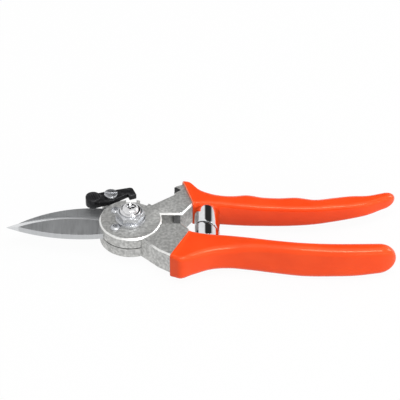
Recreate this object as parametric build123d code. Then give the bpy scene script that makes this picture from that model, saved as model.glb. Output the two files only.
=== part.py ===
"""Bypass pruning shears, closed, lying flat: millimetres, +Z up.

The origin is on the pivot axis, on the surface that the shears lie on. The handles run towards +X and the
blades towards -X. The palm half lies below the contact plane of the blades at the pivot, the finger half above.
"""

import os
from math import cos, hypot, radians, sin

from build123d import *

# Reach from the pivot axis
PALM_REACH = 138.4
FINGER_REACH = 140.8
BLADE_REACH = 66.0
HOOK_REACH = 62.5

# Thicknesses of the handles and of the stack at the pivot
PALM_THICK = 20.0
FINGER_TIP_THICK = 8.4
NECK_THICK = 13.0
COAT = 1.0
BLADE_THICK = 3.2
HUB_RELIEF = 0.3

# Hub and necks, in plan
HUB_RADIUS = 16.5
HUB_WALL = 1.5
HUB_GAP = 0.4
RIM_CHAMFER = 0.8
STOP_WALL_Y = 4.2
NECK_CORNER_X = 27.2
PALM_WALL_Y = -2.8
PALM_WALL_END = 26.8
PALM_CORNER = (30.5, -7.0)
PALM_FRONT = (15.0, -24.6)
PALM_FRONT_ROOT = 290.0
FINGER_HORN = (22.8, 27.2)
FINGER_LIP = (22.4, 20.4)
FINGER_ROOT = 48.0
SHOULDER_NOTCH_REACH = 3.9
SHOULDER_NOTCH_DEPTH = 3.6

# Cutting blade and hook
BLADE_BELLY = 9.5
BLADE_SPINE = 7.8
BLADE_TIP_Y = 0.6
BLADE_ROOT = 148.0
BLADE_BEVEL = 6.0
HOOK_HOLLOW = 5.8
HOOK_BACK = 15.2
HOOK_TIP_Y = 1.6
HOOK_ROOT = 172.0
HOOK_BACK_ROOT = 106.0
HOOK_BEVEL = 1.6

# Pivot bolt and what is on it
SHANK_RADIUS = 4.0
BOLT_HEAD_RADIUS = 7.5
BOLT_SQUARE = 9.0
BUSH_WALL = 1.45
WASHER_RADIUS = 8.0
WASHER_THICK = 1.6
NUT_ACROSS_FLATS = 13.0
NUT_THICK = 4.0
NUT_CHAMFER = 0.8
LOCK_WASHER_RADIUS = 5.5
LOCK_WASHER_THICK = 1.0
LOCK_SCREW_RADIUS = 2.0
LOCK_SCREW_LENGTH = 8.0
LOCK_HEAD_RADIUS = 4.3
LOCK_HEAD_HEIGHT = 2.4
RECESS_SPAN = 4.6
RECESS_SLOT = 0.9
RECESS_DEPTH = 1.7
RUN_CLEAR = 0.05
HOLE_CLEAR = 0.1

# Screws and rivets of the blades
BLADE_FIXING_RADIUS = 10.6
BLADE_FIXING_ANGLES = (140.0, 222.0)
FIXING_RADIUS = 1.6
SCREW_HEAD_RADIUS = 2.6
SCREW_HEAD_HEIGHT = 1.4
SCREW_SLOT = 0.9

# Thumb catch on the palm half and its two notches in the finger hub
OPEN_ANGLE = 26.0
CATCH_PIN = (-11.0, 18.8)
CATCH_SWING = 22.0
CATCH_NOTCH_ANGLE = 90.0
CATCH_NOSE_WIDTH = 4.0
CATCH_NOTCH_DEPTH = 3.0
CATCH_NOSE_CLEAR = 0.8
CATCH_ARM = 4.0
CATCH_THICK = 3.0
CATCH_PAD_REACH = 10.0
CATCH_PAD_RISE = 2.4
CATCH_SCREW_RADIUS = 2.0
CATCH_SCREW_HEAD = 3.6
CATCH_WASHER_THICK = 0.6
EAR_RADIUS = 4.8

# Return spring, its studs and the stop
SPRING_X = 40.3
SPRING_RADIUS = 5.9
SPRING_STRIP = 0.8
SPRING_PITCH = 16.6
SPRING_SLIT = 0.8
SPRING_SLIT_AT = -2.6
STUD_SINK = 2.1
STUD_FLANGE = 1.2
STUD_SPIGOT = 3.0
STUD_SHANK_RADIUS = 2.2
STUD_SHANK = 5.0
SPRING_ROOM = 0.4
GAP_POINTS = 200
BUMPER_X = 22.6
BUMPER_LENGTH = 3.6
BUMPER_ROOT = 2.6
BUMPER_HEIGHT = 6.0
BUMPER_SINK = 1.2

# Palm handle: share of its length, inner y, outer y, lean in x, share of the swell, inner and outer edge rounds
PALM_START = 26.4
PALM_STATIONS = [
    (0.000, -10.2, -30.0, 10.0, 0.00, 1.6, 1.6),
    (0.028, -10.2, -32.7, 7.4, 0.00, 2.0, 2.4),
    (0.066, -10.7, -30.6, 3.6, 0.00, 2.4, 3.4),
    (0.137, -11.5, -26.8, 0.8, 0.00, 3.0, 3.8),
    (0.218, -12.6, -25.3, 0.0, 0.12, 3.4, 3.8),
    (0.316, -15.4, -25.4, 0.0, 0.54, 3.4, 3.8),
    (0.432, -18.5, -27.0, 0.0, 0.82, 3.4, 3.8),
    (0.566, -21.0, -28.9, 0.0, 1.00, 3.4, 3.8),
    (0.700, -21.3, -29.7, 0.0, 0.82, 3.4, 3.8),
    (0.820, -20.9, -29.5, 0.0, 0.68, 3.4, 3.8),
    (0.916, -20.1, -28.3, 0.0, 0.46, 3.4, 3.8),
]

# Finger handle, in the same columns, with the swell running from the neck to the thin tip
FINGER_START = 30.45
FINGER_STATIONS = [
    (0.000, 11.9, 30.5, 5.7, 0.00, 1.6, 1.6),
    (0.018, 11.8, 30.9, 4.4, -0.03, 2.0, 2.4),
    (0.050, 11.6, 25.7, 1.6, -0.08, 2.4, 3.5),
    (0.100, 11.3, 22.4, 0.0, -0.11, 2.5, 4.5),
    (0.155, 10.8, 20.6, 0.0, -0.11, 2.5, 4.6),
    (0.218, 9.9, 20.5, 0.0, -0.05, 2.5, 4.8),
    (0.281, 9.2, 21.4, 0.0, 0.00, 2.5, 4.8),
    (0.354, 8.6, 20.0, 0.0, 0.11, 2.5, 4.8),
    (0.436, 8.3, 19.6, 0.0, 0.17, 2.5, 4.8),
    (0.516, 8.3, 20.4, 0.0, 0.26, 2.5, 4.8),
    (0.612, 9.0, 19.0, 0.0, 0.38, 2.5, 4.6),
    (0.703, 10.6, 21.1, 0.0, 0.54, 2.5, 4.4),
    (0.784, 12.3, 22.9, 0.0, 0.71, 2.5, 4.0),
    (0.866, 14.9, 23.5, 0.0, 0.83, 2.5, 3.6),
    (0.942, 19.0, 26.0, 0.0, 1.00, 2.5, 3.0),
]
END_TURNS = (30.0, 54.0, 74.0)
END_COATS = 2.0
FINE_ROUND = 0.5

# Heights that follow from the stack
MID = PALM_THICK / 2
UNDERSIDE = MID - NECK_THICK / 2
TOPSIDE = MID + NECK_THICK / 2
BLADE_TOP = MID + BLADE_THICK
HOOK_BOTTOM = MID - BLADE_THICK
WASHER_TOP = TOPSIDE + WASHER_THICK
NUT_TOP = WASHER_TOP + NUT_THICK
LOCK_SEAT = NUT_TOP + LOCK_WASHER_THICK
TAIL_RADIUS = HUB_RADIUS - HUB_WALL
BUSH_RADIUS = SHANK_RADIUS + RUN_CLEAR + BUSH_WALL


def polar(radius, angle):
    """Plan point at a radius and an angle in degrees about the pivot."""
    return (radius * cos(radians(angle)), radius * sin(radians(angle)))


def disc(x, y, radius, low, high):
    """Upright cylinder between two heights."""
    return Pos(x, y, low) * extrude(Circle(radius), high - low)


def slab(sketch, low, high):
    """Plan sketch raised between two heights."""
    return Pos(0, 0, low) * extrude(sketch, high - low)


def outline(*edges):
    """Plan face inside a closed run of edges."""
    return make_face([*edges])


def circle_through(a, b, c):
    """Centre and radius of the plan circle through three points."""
    (ax, ay), (bx, by), (cx, cy) = a, b, c
    d = 2 * (ax * (by - cy) + bx * (cy - ay) + cx * (ay - by))
    aa, bb, cc = ax * ax + ay * ay, bx * bx + by * by, cx * cx + cy * cy
    x = (aa * (by - cy) + bb * (cy - ay) + cc * (ay - by)) / d
    y = (aa * (cx - bx) + bb * (ax - cx) + cc * (bx - ax)) / d
    return x, y, hypot(ax - x, ay - y)


def stations(table, start, reach, far_thick, inset):
    """Sections of a handle, drawn in by inset: its inner and outer points, thickness and two edge rounds."""
    root_thick = NECK_THICK + 2 * COAT
    rows = []
    for share, inner_y, outer_y, lean, swell, inner_round, outer_round in table:
        x = start + share * (reach - start)
        inner = Vector(x + lean / 2, inner_y)
        outer = Vector(x - lean / 2, outer_y)
        across = (outer - inner).normalized() * inset
        thick = root_thick + swell * (far_thick - root_thick) - 2 * inset
        inner_edge = max(inner_round - inset, FINE_ROUND)
        outer_edge = max(outer_round - inset, FINE_ROUND)
        rows.append((inner + across, outer - across, thick, inner_edge, outer_edge))
    inner, outer, thick, inner_edge, outer_edge = rows[-1]
    middle = (inner + outer) / 2
    before = (rows[-2][0] + rows[-2][1]) / 2
    run = (middle - before) * (1 / (middle.X - before.X))
    length = reach - middle.X - END_COATS * inset
    for turn in END_TURNS:
        ahead = middle + run * (length * sin(radians(turn)))
        size = cos(radians(turn))
        half = (outer - inner) * (size / 2)
        rows.append((ahead - half, ahead + half, thick * size, inner_edge * size, outer_edge * size))
    return rows


def section(row):
    """Rounded cross-section of a handle on the upright plane through its two plan points."""
    inner, outer, thick, a, b = row
    across = (outer - inner).normalized()
    width = (outer - inner).length
    half = thick / 2
    edges = [
        Line((0, a - half), (0, half - a)),
        CenterArc((a, half - a), a, 180, -90),
        Line((a, half), (width - b, half)),
        CenterArc((width - b, half - b), b, 90, -90),
        Line((width, half - b), (width, b - half)),
        CenterArc((width - b, b - half), b, 0, -90),
        Line((width - b, -half), (a, -half)),
        CenterArc((a, a - half), a, -90, -90),
    ]
    plane = Plane(origin=(inner.X, inner.Y, MID), x_dir=across, z_dir=across.cross(Vector(0, 0, 1)))
    return plane * make_face(edges)


def handle_pair(coat_rows, core_rows):
    """Core and coat of a handle: the coat closes over the end of the core."""
    core = loft([section(row) for row in core_rows])
    return core, loft([section(row) for row in coat_rows]) - core


def wall_y(rows, x):
    """Inner wall of a handle at a distance from the pivot, between its two nearest stations."""
    points = [row[0] for row in rows]
    for a, b in zip(points, points[1:]):
        if a.X <= x <= b.X:
            return a.Y + (b.Y - a.Y) * (x - a.X) / (b.X - a.X)
    return points[-1].Y


def casting(plan, cleared, low, high):
    """Full-height hub and neck with chamfered rims, cleared for the other half between two heights."""
    block = slab(plan, UNDERSIDE, TOPSIDE)
    rims = [edge for face in block.faces().filter_by(Axis.Z) for edge in face.outer_wire().edges()]
    return chamfer(rims, RIM_CHAMFER) - slab(cleared, low, high)


def neck_ends(row):
    """Plan points where the bare neck meets the coat, carried a little into the handle."""
    across = (row[1] - row[0]).normalized()
    inner = row[0] + across * COAT
    outer = row[1] - across * COAT
    ahead = Vector(COAT, 0)
    return [(point.X, point.Y) for point in (inner, inner + ahead, outer + ahead, outer)]


def along_y(radius, y_from, y_to):
    """Cylinder on the spring's axis between two values of y."""
    return Pos(SPRING_X, y_from, MID) * Rot(-90, 0, 0) * extrude(Circle(radius), y_to - y_from)


def stud(seat, towards):
    """Flanged stud: its shank goes into the handle and its spigot into the spring."""
    lift = towards * STUD_FLANGE
    flange = along_y(SPRING_RADIUS, min(seat, seat + lift), max(seat, seat + lift))
    tip = seat + lift + towards * STUD_SPIGOT
    bore = SPRING_RADIUS - SPRING_STRIP - SPRING_ROOM
    spigot = along_y(bore, min(seat, tip), max(seat, tip))
    root = seat - towards * STUD_SHANK
    shank = along_y(STUD_SHANK_RADIUS, min(seat, root), max(seat, root))
    return flange + spigot + shank


def slotted_head(x, y, radius, low):
    """Round screw head with a straight slot across it, half as deep as the head."""
    top = low + SCREW_HEAD_HEIGHT
    slot = Pos(x, y, top) * Box(2 * (radius + HOLE_CLEAR), SCREW_SLOT, SCREW_HEAD_HEIGHT)
    return disc(x, y, radius, low, top) - slot


def least_gap(walls, count):
    """Least distance between points spread along the long edges of two facing walls."""
    sides = []
    for wall in walls:
        edges = wall.edges().sort_by(SortBy.LENGTH)[-2:]
        sides.append([edge @ (step / count) for edge in edges for step in range(count + 1)])
    return min((a - b).length for a in sides[0] for b in sides[1])


def fixings(low, high):
    """Round bars at the places where a blade is fixed."""
    places = [polar(BLADE_FIXING_RADIUS, angle) for angle in BLADE_FIXING_ANGLES]
    return [disc(x, y, FIXING_RADIUS, low, high) for x, y in places]


palm_rows = stations(PALM_STATIONS, PALM_START, PALM_REACH, PALM_THICK, 0)
palm_core_rows = stations(PALM_STATIONS, PALM_START, PALM_REACH, PALM_THICK, COAT)
finger_rows = stations(FINGER_STATIONS, FINGER_START, FINGER_REACH, FINGER_TIP_THICK, 0)
finger_core_rows = stations(FINGER_STATIONS, FINGER_START, FINGER_REACH, FINGER_TIP_THICK, COAT)

# Cutting blade: a round tail and a bellied blade, ground on its upper side to an edge in the contact plane
blade_up = polar(TAIL_RADIUS, BLADE_ROOT)
blade_low = polar(TAIL_RADIUS, 360 - BLADE_ROOT)
blade_tip = (-BLADE_REACH, BLADE_TIP_Y)
blade_middle = (blade_up[0] - BLADE_REACH) / 2
blade_belly = (blade_middle, BLADE_BELLY)
blade_plan = outline(
    ThreePointArc(blade_up, blade_belly, blade_tip),
    ThreePointArc(blade_tip, (blade_middle, -BLADE_SPINE), blade_low),
    Line(blade_low, (0, 0)),
    Line((0, 0), blade_up),
)
edge_x, edge_y, edge_radius = circle_through(blade_up, blade_belly, blade_tip)
grind_cone = Cone(edge_radius, edge_radius - BLADE_BEVEL, BLADE_THICK)
grind = Pos(edge_x, edge_y, MID + BLADE_THICK / 2) * grind_cone
blade_tail = disc(0, 0, TAIL_RADIUS, MID, BLADE_TOP)
cutting_blade = blade_tail + (slab(blade_plan, MID, BLADE_TOP) & grind)

# Hook: a hollow edge in the contact plane, relieved towards its underside
hook_root = polar(TAIL_RADIUS, HOOK_ROOT)
hook_back_root = polar(TAIL_RADIUS, HOOK_BACK_ROOT)
hook_tip = (-HOOK_REACH, HOOK_TIP_Y)
hook_hollow = ((hook_root[0] - HOOK_REACH) / 2, HOOK_HOLLOW)
hook_plan = outline(
    ThreePointArc(hook_root, hook_hollow, hook_tip),
    ThreePointArc(hook_tip, ((hook_back_root[0] - HOOK_REACH) / 2, HOOK_BACK), hook_back_root),
    Line(hook_back_root, (0, 0)),
    Line((0, 0), hook_root),
)
hollow_x, hollow_y, hollow_radius = circle_through(hook_root, hook_hollow, hook_tip)
hollow_cone = Cone(hollow_radius + HOOK_BEVEL, hollow_radius, BLADE_THICK)
hollow = Pos(hollow_x, hollow_y, MID - BLADE_THICK / 2) * hollow_cone
hook_tail = disc(0, 0, TAIL_RADIUS, HOOK_BOTTOM, MID)
counter_blade = hook_tail + (slab(hook_plan, HOOK_BOTTOM, MID) - hollow)

# Palm half: hub plate, ear for the catch, neck and the core of the handle
palm_in, palm_in_deep, palm_out_deep, palm_out = neck_ends(palm_rows[0])
palm_root = polar(HUB_RADIUS, PALM_FRONT_ROOT)
palm_neck_plan = outline(
    Polyline((0, 0), (0, PALM_WALL_Y), (PALM_WALL_END, PALM_WALL_Y), PALM_CORNER, palm_in),
    Polyline(palm_in, palm_in_deep, palm_out_deep, palm_out),
    Polyline(palm_out, PALM_FRONT, palm_root, (0, 0)),
)
pin_x, pin_y = CATCH_PIN
ear_plan = Pos(pin_x, pin_y) * Circle(EAR_RADIUS)
bridge_plan = make_hull((ear_plan + Circle(HUB_RADIUS / 2)).edges())
palm_plan = Circle(HUB_RADIUS) + palm_neck_plan + bridge_plan
hub_pocket = Circle(HUB_RADIUS + HUB_GAP)
bridge_room = offset(bridge_plan, HUB_GAP)
palm_core, palm_grip = handle_pair(palm_rows, palm_core_rows)
catch_seat = BLADE_TOP + HUB_RELIEF
hook_core = casting(palm_plan, hub_pocket + bridge_room, MID - HUB_RELIEF, TOPSIDE) + palm_core
hook_core += disc(pin_x, pin_y, EAR_RADIUS, UNDERSIDE, catch_seat)

# Finger half: hub plate with two catch notches, neck with its shoulder notch, and the core of the handle
finger_in, finger_in_deep, finger_out_deep, finger_out = neck_ends(finger_rows[0])
finger_root = polar(HUB_RADIUS, FINGER_ROOT)
finger_plan = Circle(HUB_RADIUS) + outline(
    Polyline((0, 0), (0, STOP_WALL_Y), (NECK_CORNER_X, STOP_WALL_Y), finger_in),
    Polyline(finger_in, finger_in_deep, finger_out_deep, finger_out),
    Polyline(finger_out, FINGER_HORN, FINGER_LIP, finger_root, (0, 0)),
)
finger_core, finger_grip = handle_pair(finger_rows, finger_core_rows)
blade_core = casting(finger_plan, hub_pocket, UNDERSIDE, MID + HUB_RELIEF) + finger_core
notch_width = CATCH_NOSE_WIDTH + 2 * CATCH_NOSE_CLEAR
for angle in (CATCH_NOTCH_ANGLE, CATCH_NOTCH_ANGLE - OPEN_ANGLE):
    notch = Pos(HUB_RADIUS, 0, MID) * Box(2 * CATCH_NOTCH_DEPTH, notch_width, 2 * NECK_THICK)
    blade_core -= Rot(0, 0, angle) * notch
notch_tip = (FINGER_LIP[0] + SHOULDER_NOTCH_REACH, (FINGER_LIP[1] + FINGER_HORN[1]) / 2)
notch_mouth = [(FINGER_LIP[0] - HUB_GAP, FINGER_LIP[1]), (FINGER_HORN[0] - HUB_GAP, FINGER_HORN[1])]
shoulder_notch = make_face(Polyline(notch_tip, *notch_mouth, close=True))
blade_core -= slab(shoulder_notch, TOPSIDE - SHOULDER_NOTCH_DEPTH, TOPSIDE + HUB_RELIEF)

# Blades let into the hubs, and their fixings
counter_seat = Circle(TAIL_RADIUS) + hook_plan
cutting_seat = Circle(TAIL_RADIUS) + blade_plan
hook_core -= slab(counter_seat, HOOK_BOTTOM, MID)
blade_core -= slab(cutting_seat, MID, BLADE_TOP)
rivets = fixings(UNDERSIDE, MID)
blade_screws = []
for bar in fixings(MID, TOPSIDE):
    centre = bar.bounding_box().center()
    blade_screws.append(bar + slotted_head(centre.X, centre.Y, SCREW_HEAD_RADIUS, TOPSIDE))
for bar in rivets:
    hook_core -= bar
    counter_blade -= bar
for bar in fixings(MID, TOPSIDE):
    blade_core -= bar
    cutting_blade -= bar

# Pivot: bolt from below, bush in the finger half, washer, nut, lock washer and lock screw
square = extrude(Rectangle(BOLT_SQUARE, BOLT_SQUARE), HOOK_BOTTOM - UNDERSIDE)
square_room = BOLT_SQUARE + 2 * HOLE_CLEAR
square_hole = extrude(Rectangle(square_room, square_room), NECK_THICK)
lock_depth = LOCK_SCREW_LENGTH + HOLE_CLEAR - LOCK_WASHER_THICK
pivot_bolt = disc(0, 0, BOLT_HEAD_RADIUS, 0, UNDERSIDE) + Pos(0, 0, UNDERSIDE) * square
pivot_bolt += disc(0, 0, SHANK_RADIUS, UNDERSIDE, NUT_TOP)
pivot_bolt -= disc(0, 0, LOCK_SCREW_RADIUS + RUN_CLEAR, NUT_TOP - lock_depth, NUT_TOP)
hook_core -= Pos(0, 0, UNDERSIDE) * square_hole
counter_blade -= disc(0, 0, SHANK_RADIUS + RUN_CLEAR, HOOK_BOTTOM, MID)
cutting_blade -= disc(0, 0, BUSH_RADIUS, MID, BLADE_TOP)
blade_core -= disc(0, 0, BUSH_RADIUS, MID, TOPSIDE)
pivot_bush = disc(0, 0, BUSH_RADIUS, MID, TOPSIDE) - disc(0, 0, SHANK_RADIUS + RUN_CLEAR, MID, TOPSIDE)
shank_hole = disc(0, 0, SHANK_RADIUS + RUN_CLEAR, TOPSIDE, NUT_TOP)
pivot_washer = disc(0, 0, WASHER_RADIUS, TOPSIDE, WASHER_TOP) - shank_hole
hexagon = RegularPolygon(NUT_ACROSS_FLATS / 2, 6, major_radius=False)
nut_slope = Cone(NUT_ACROSS_FLATS / 2 + 2 * NUT_THICK, NUT_ACROSS_FLATS / 2 - NUT_CHAMFER / 2, NUT_THICK)
pivot_nut = slab(hexagon, WASHER_TOP, NUT_TOP) & Pos(0, 0, (WASHER_TOP + NUT_TOP) / 2) * nut_slope
pivot_nut -= shank_hole
screw_hole = disc(0, 0, LOCK_SCREW_RADIUS + RUN_CLEAR, NUT_TOP, LOCK_SEAT)
lock_washer = disc(0, 0, LOCK_WASHER_RADIUS, NUT_TOP, LOCK_SEAT) - screw_hole
dome_radius = (LOCK_HEAD_RADIUS**2 + LOCK_HEAD_HEIGHT**2) / LOCK_HEAD_HEIGHT
dome = Pos(0, 0, LOCK_SEAT + LOCK_HEAD_HEIGHT - dome_radius) * Sphere(dome_radius)
lock_screw = disc(0, 0, LOCK_HEAD_RADIUS, LOCK_SEAT, LOCK_SEAT + LOCK_HEAD_HEIGHT) & dome
lock_screw += disc(0, 0, LOCK_SCREW_RADIUS, LOCK_SEAT - LOCK_SCREW_LENGTH, LOCK_SEAT)
recess = Pos(0, 0, LOCK_SEAT + LOCK_HEAD_HEIGHT) * Box(RECESS_SPAN, RECESS_SLOT, 2 * RECESS_DEPTH)
for turn in (0, 90):
    lock_screw -= Rot(0, 0, turn) * recess

# Thumb catch, drawn in its notch and swung clear of the hub
nose_x, nose_y = polar(HUB_RADIUS - CATCH_NOTCH_DEPTH + CATCH_NOSE_CLEAR, CATCH_NOTCH_ANGLE)
nose_top = HUB_RADIUS + CATCH_NOSE_CLEAR + CATCH_NOSE_WIDTH / 2
nose = Pos(nose_x, (nose_y + nose_top) / 2) * Rectangle(CATCH_NOSE_WIDTH, nose_top - nose_y)
nose_end = Pos(nose_x, nose_top) * Circle(CATCH_NOSE_WIDTH / 2)
hinge_end = Pos(pin_x, pin_y) * Circle(CATCH_ARM)
pad_end = Pos(pin_x - CATCH_PAD_REACH, pin_y) * Circle(CATCH_NOSE_WIDTH)
arm = make_hull((hinge_end + nose_end).edges()) + make_hull((hinge_end + pad_end).edges()) + nose
catch_base = catch_seat + CATCH_WASHER_THICK
catch_top = catch_base + CATCH_THICK
catch_raised = slab(arm, catch_base, catch_top) + slab(pad_end, catch_top, catch_top + CATCH_PAD_RISE)
catch_raised -= disc(pin_x, pin_y, CATCH_SCREW_RADIUS + RUN_CLEAR, catch_base, catch_top)
thumb_catch = Pos(pin_x, pin_y) * Rot(0, 0, CATCH_SWING) * Pos(-pin_x, -pin_y) * catch_raised
catch_hole = disc(pin_x, pin_y, CATCH_SCREW_RADIUS + RUN_CLEAR, catch_seat, catch_base)
catch_washer = disc(pin_x, pin_y, CATCH_SCREW_HEAD, catch_seat, catch_base) - catch_hole
catch_screw = disc(pin_x, pin_y, CATCH_SCREW_RADIUS, UNDERSIDE, catch_top + RUN_CLEAR)
catch_screw += slotted_head(pin_x, pin_y, CATCH_SCREW_HEAD, catch_top + RUN_CLEAR)
hook_core -= disc(pin_x, pin_y, CATCH_SCREW_RADIUS, UNDERSIDE, catch_seat)

# Return spring: a tube of strip with one helical slit, seated on a flanged stud in each handle
palm_wall = wall_y(palm_rows, SPRING_X)
finger_wall = wall_y(finger_rows, SPRING_X)
palm_seat = palm_wall - STUD_SINK
finger_seat = finger_wall + STUD_SINK
hook_stud = stud(palm_seat, 1)
blade_stud = stud(finger_seat, -1)
spring_low = palm_seat + STUD_FLANGE
spring_high = finger_seat - STUD_FLANGE
seat_room = SPRING_RADIUS + SPRING_ROOM
hook_core -= along_y(seat_room, palm_seat, palm_seat + SPRING_RADIUS)
hook_core -= along_y(STUD_SHANK_RADIUS, palm_seat - STUD_SHANK, palm_seat)
palm_grip -= along_y(seat_room, palm_seat, palm_seat + SPRING_RADIUS)
blade_core -= along_y(seat_room, finger_seat - SPRING_RADIUS, finger_seat)
blade_core -= along_y(STUD_SHANK_RADIUS, finger_seat, finger_seat + STUD_SHANK)
finger_grip -= along_y(seat_room, finger_seat - SPRING_RADIUS, finger_seat)
spring_tube = along_y(SPRING_RADIUS, spring_low, spring_high)
spring_tube -= along_y(SPRING_RADIUS - SPRING_STRIP, spring_low, spring_high)
slit_half = max(spring_high - SPRING_SLIT_AT, SPRING_SLIT_AT - spring_low) + SPRING_SLIT
slit_turn = 90 - 360 * slit_half / SPRING_PITCH
slit_path = Helix(SPRING_PITCH, 2 * slit_half, SPRING_RADIUS - SPRING_STRIP / 2)
slit_plane = Plane(origin=slit_path @ 0, z_dir=slit_path % 0, x_dir=(1, 0, 0))
slit_section = slit_plane * Rectangle(2 * SPRING_STRIP, SPRING_SLIT)
slit_cutter = Pos(0, 0, -slit_half) * sweep(slit_section, slit_path, is_frenet=True)
slit_place = Pos(SPRING_X, SPRING_SLIT_AT, MID) * Rot(90, 0, 0) * Rot(0, 0, slit_turn)
right_hand_spring = spring_tube - slit_place * slit_cutter
volute_spring = mirror(right_hand_spring, about=Plane.YZ.offset(SPRING_X))
plain_faces = (GeomType.PLANE, GeomType.CYLINDER)
slit_walls = [face for face in volute_spring.faces() if face.geom_type not in plain_faces]

# Stop between the necks
bumper_top = TOPSIDE - BUMPER_SINK
bumper_root = PALM_WALL_Y - BUMPER_ROOT
bumper_place = Pos(BUMPER_X + BUMPER_LENGTH / 2, (bumper_root + STOP_WALL_Y) / 2)
bumper_plan = bumper_place * Rectangle(BUMPER_LENGTH, STOP_WALL_Y - bumper_root)
closing_bumper = slab(bumper_plan, bumper_top - BUMPER_HEIGHT, bumper_top)
hook_core -= closing_bumper

nodes = {
    "hook_handle_core": hook_core,
    "hook_handle_grip": palm_grip,
    "counter_blade": counter_blade,
    "counter_blade_rivet_1": rivets[0],
    "counter_blade_rivet_2": rivets[1],
    "pivot_bolt": pivot_bolt,
    "pivot_washer": pivot_washer,
    "pivot_nut": pivot_nut,
    "lock_washer": lock_washer,
    "hook_spring_stud": hook_stud,
    "volute_spring": volute_spring,
    "closing_bumper": closing_bumper,
    "catch_screw": catch_screw,
    "catch_washer": catch_washer,
    "blade_handle_core": blade_core,
    "blade_handle_grip": finger_grip,
    "cutting_blade": cutting_blade,
    "blade_screw_1": blade_screws[0],
    "blade_screw_2": blade_screws[1],
    "pivot_bush": pivot_bush,
    "blade_spring_stud": blade_stud,
    "thumb_catch": thumb_catch,
    "lock_screw": lock_screw,
}

os.makedirs("parts", exist_ok=True)
for name, solid in nodes.items():
    export_step(solid, f"parts/{name}.step")
print("least gap between turns of the spring, mm:", round(least_gap(slit_walls, GAP_POINTS), 2))
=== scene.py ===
"""Studio scene of the pruning shears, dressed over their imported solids.

Each sub-assembly is a class that holds its sizes in millimetres, builds its meshes in metres in the frame of the
solids, and dresses them. Each finish is a frozen dataclass that makes its own procedural material.
"""

import logging
import math
from collections.abc import Callable, Iterator, Sequence
from contextlib import contextmanager
from dataclasses import dataclass
from enum import Enum

import bmesh
import bpy
import numpy as np
from mathutils import Matrix, Vector


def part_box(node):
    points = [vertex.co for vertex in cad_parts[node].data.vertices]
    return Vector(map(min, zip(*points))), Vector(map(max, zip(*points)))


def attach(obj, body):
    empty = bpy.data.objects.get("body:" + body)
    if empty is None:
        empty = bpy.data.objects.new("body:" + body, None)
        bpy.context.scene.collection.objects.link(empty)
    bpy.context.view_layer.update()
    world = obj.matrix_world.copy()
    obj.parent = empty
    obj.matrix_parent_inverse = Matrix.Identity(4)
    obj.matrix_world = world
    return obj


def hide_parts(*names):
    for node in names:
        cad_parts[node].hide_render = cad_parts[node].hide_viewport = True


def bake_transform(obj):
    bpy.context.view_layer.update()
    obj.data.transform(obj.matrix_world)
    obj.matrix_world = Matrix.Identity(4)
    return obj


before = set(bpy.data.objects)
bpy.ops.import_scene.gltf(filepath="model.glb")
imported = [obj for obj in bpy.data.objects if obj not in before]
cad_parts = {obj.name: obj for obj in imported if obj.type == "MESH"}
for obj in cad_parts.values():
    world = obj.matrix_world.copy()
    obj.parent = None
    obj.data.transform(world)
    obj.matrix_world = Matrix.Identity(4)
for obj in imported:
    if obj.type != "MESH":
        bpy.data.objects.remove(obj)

LOG = logging.getLogger("shears")
MM = 0.001
PHOTO_WIDTH = 400
MIDDLE_HEIGHT = 10.0
TOPSIDE = 16.5
UNDERSIDE = 3.5
COAT = 1.0
TANG_THICK = 13.0
WELD = 0.002
CORNER_STEPS = 11

Point = tuple[float, float, float]
Colour = tuple[float, float, float]
Socket = bpy.types.NodeSocket
Value = float | Sequence[float] | Socket


class Body(Enum):
    """Rigid bodies that the pieces ride on."""

    HOOK = "hook_half"
    BLADE = "blade_half"
    CATCH = "catch"
    SCREW = "screw"


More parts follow.
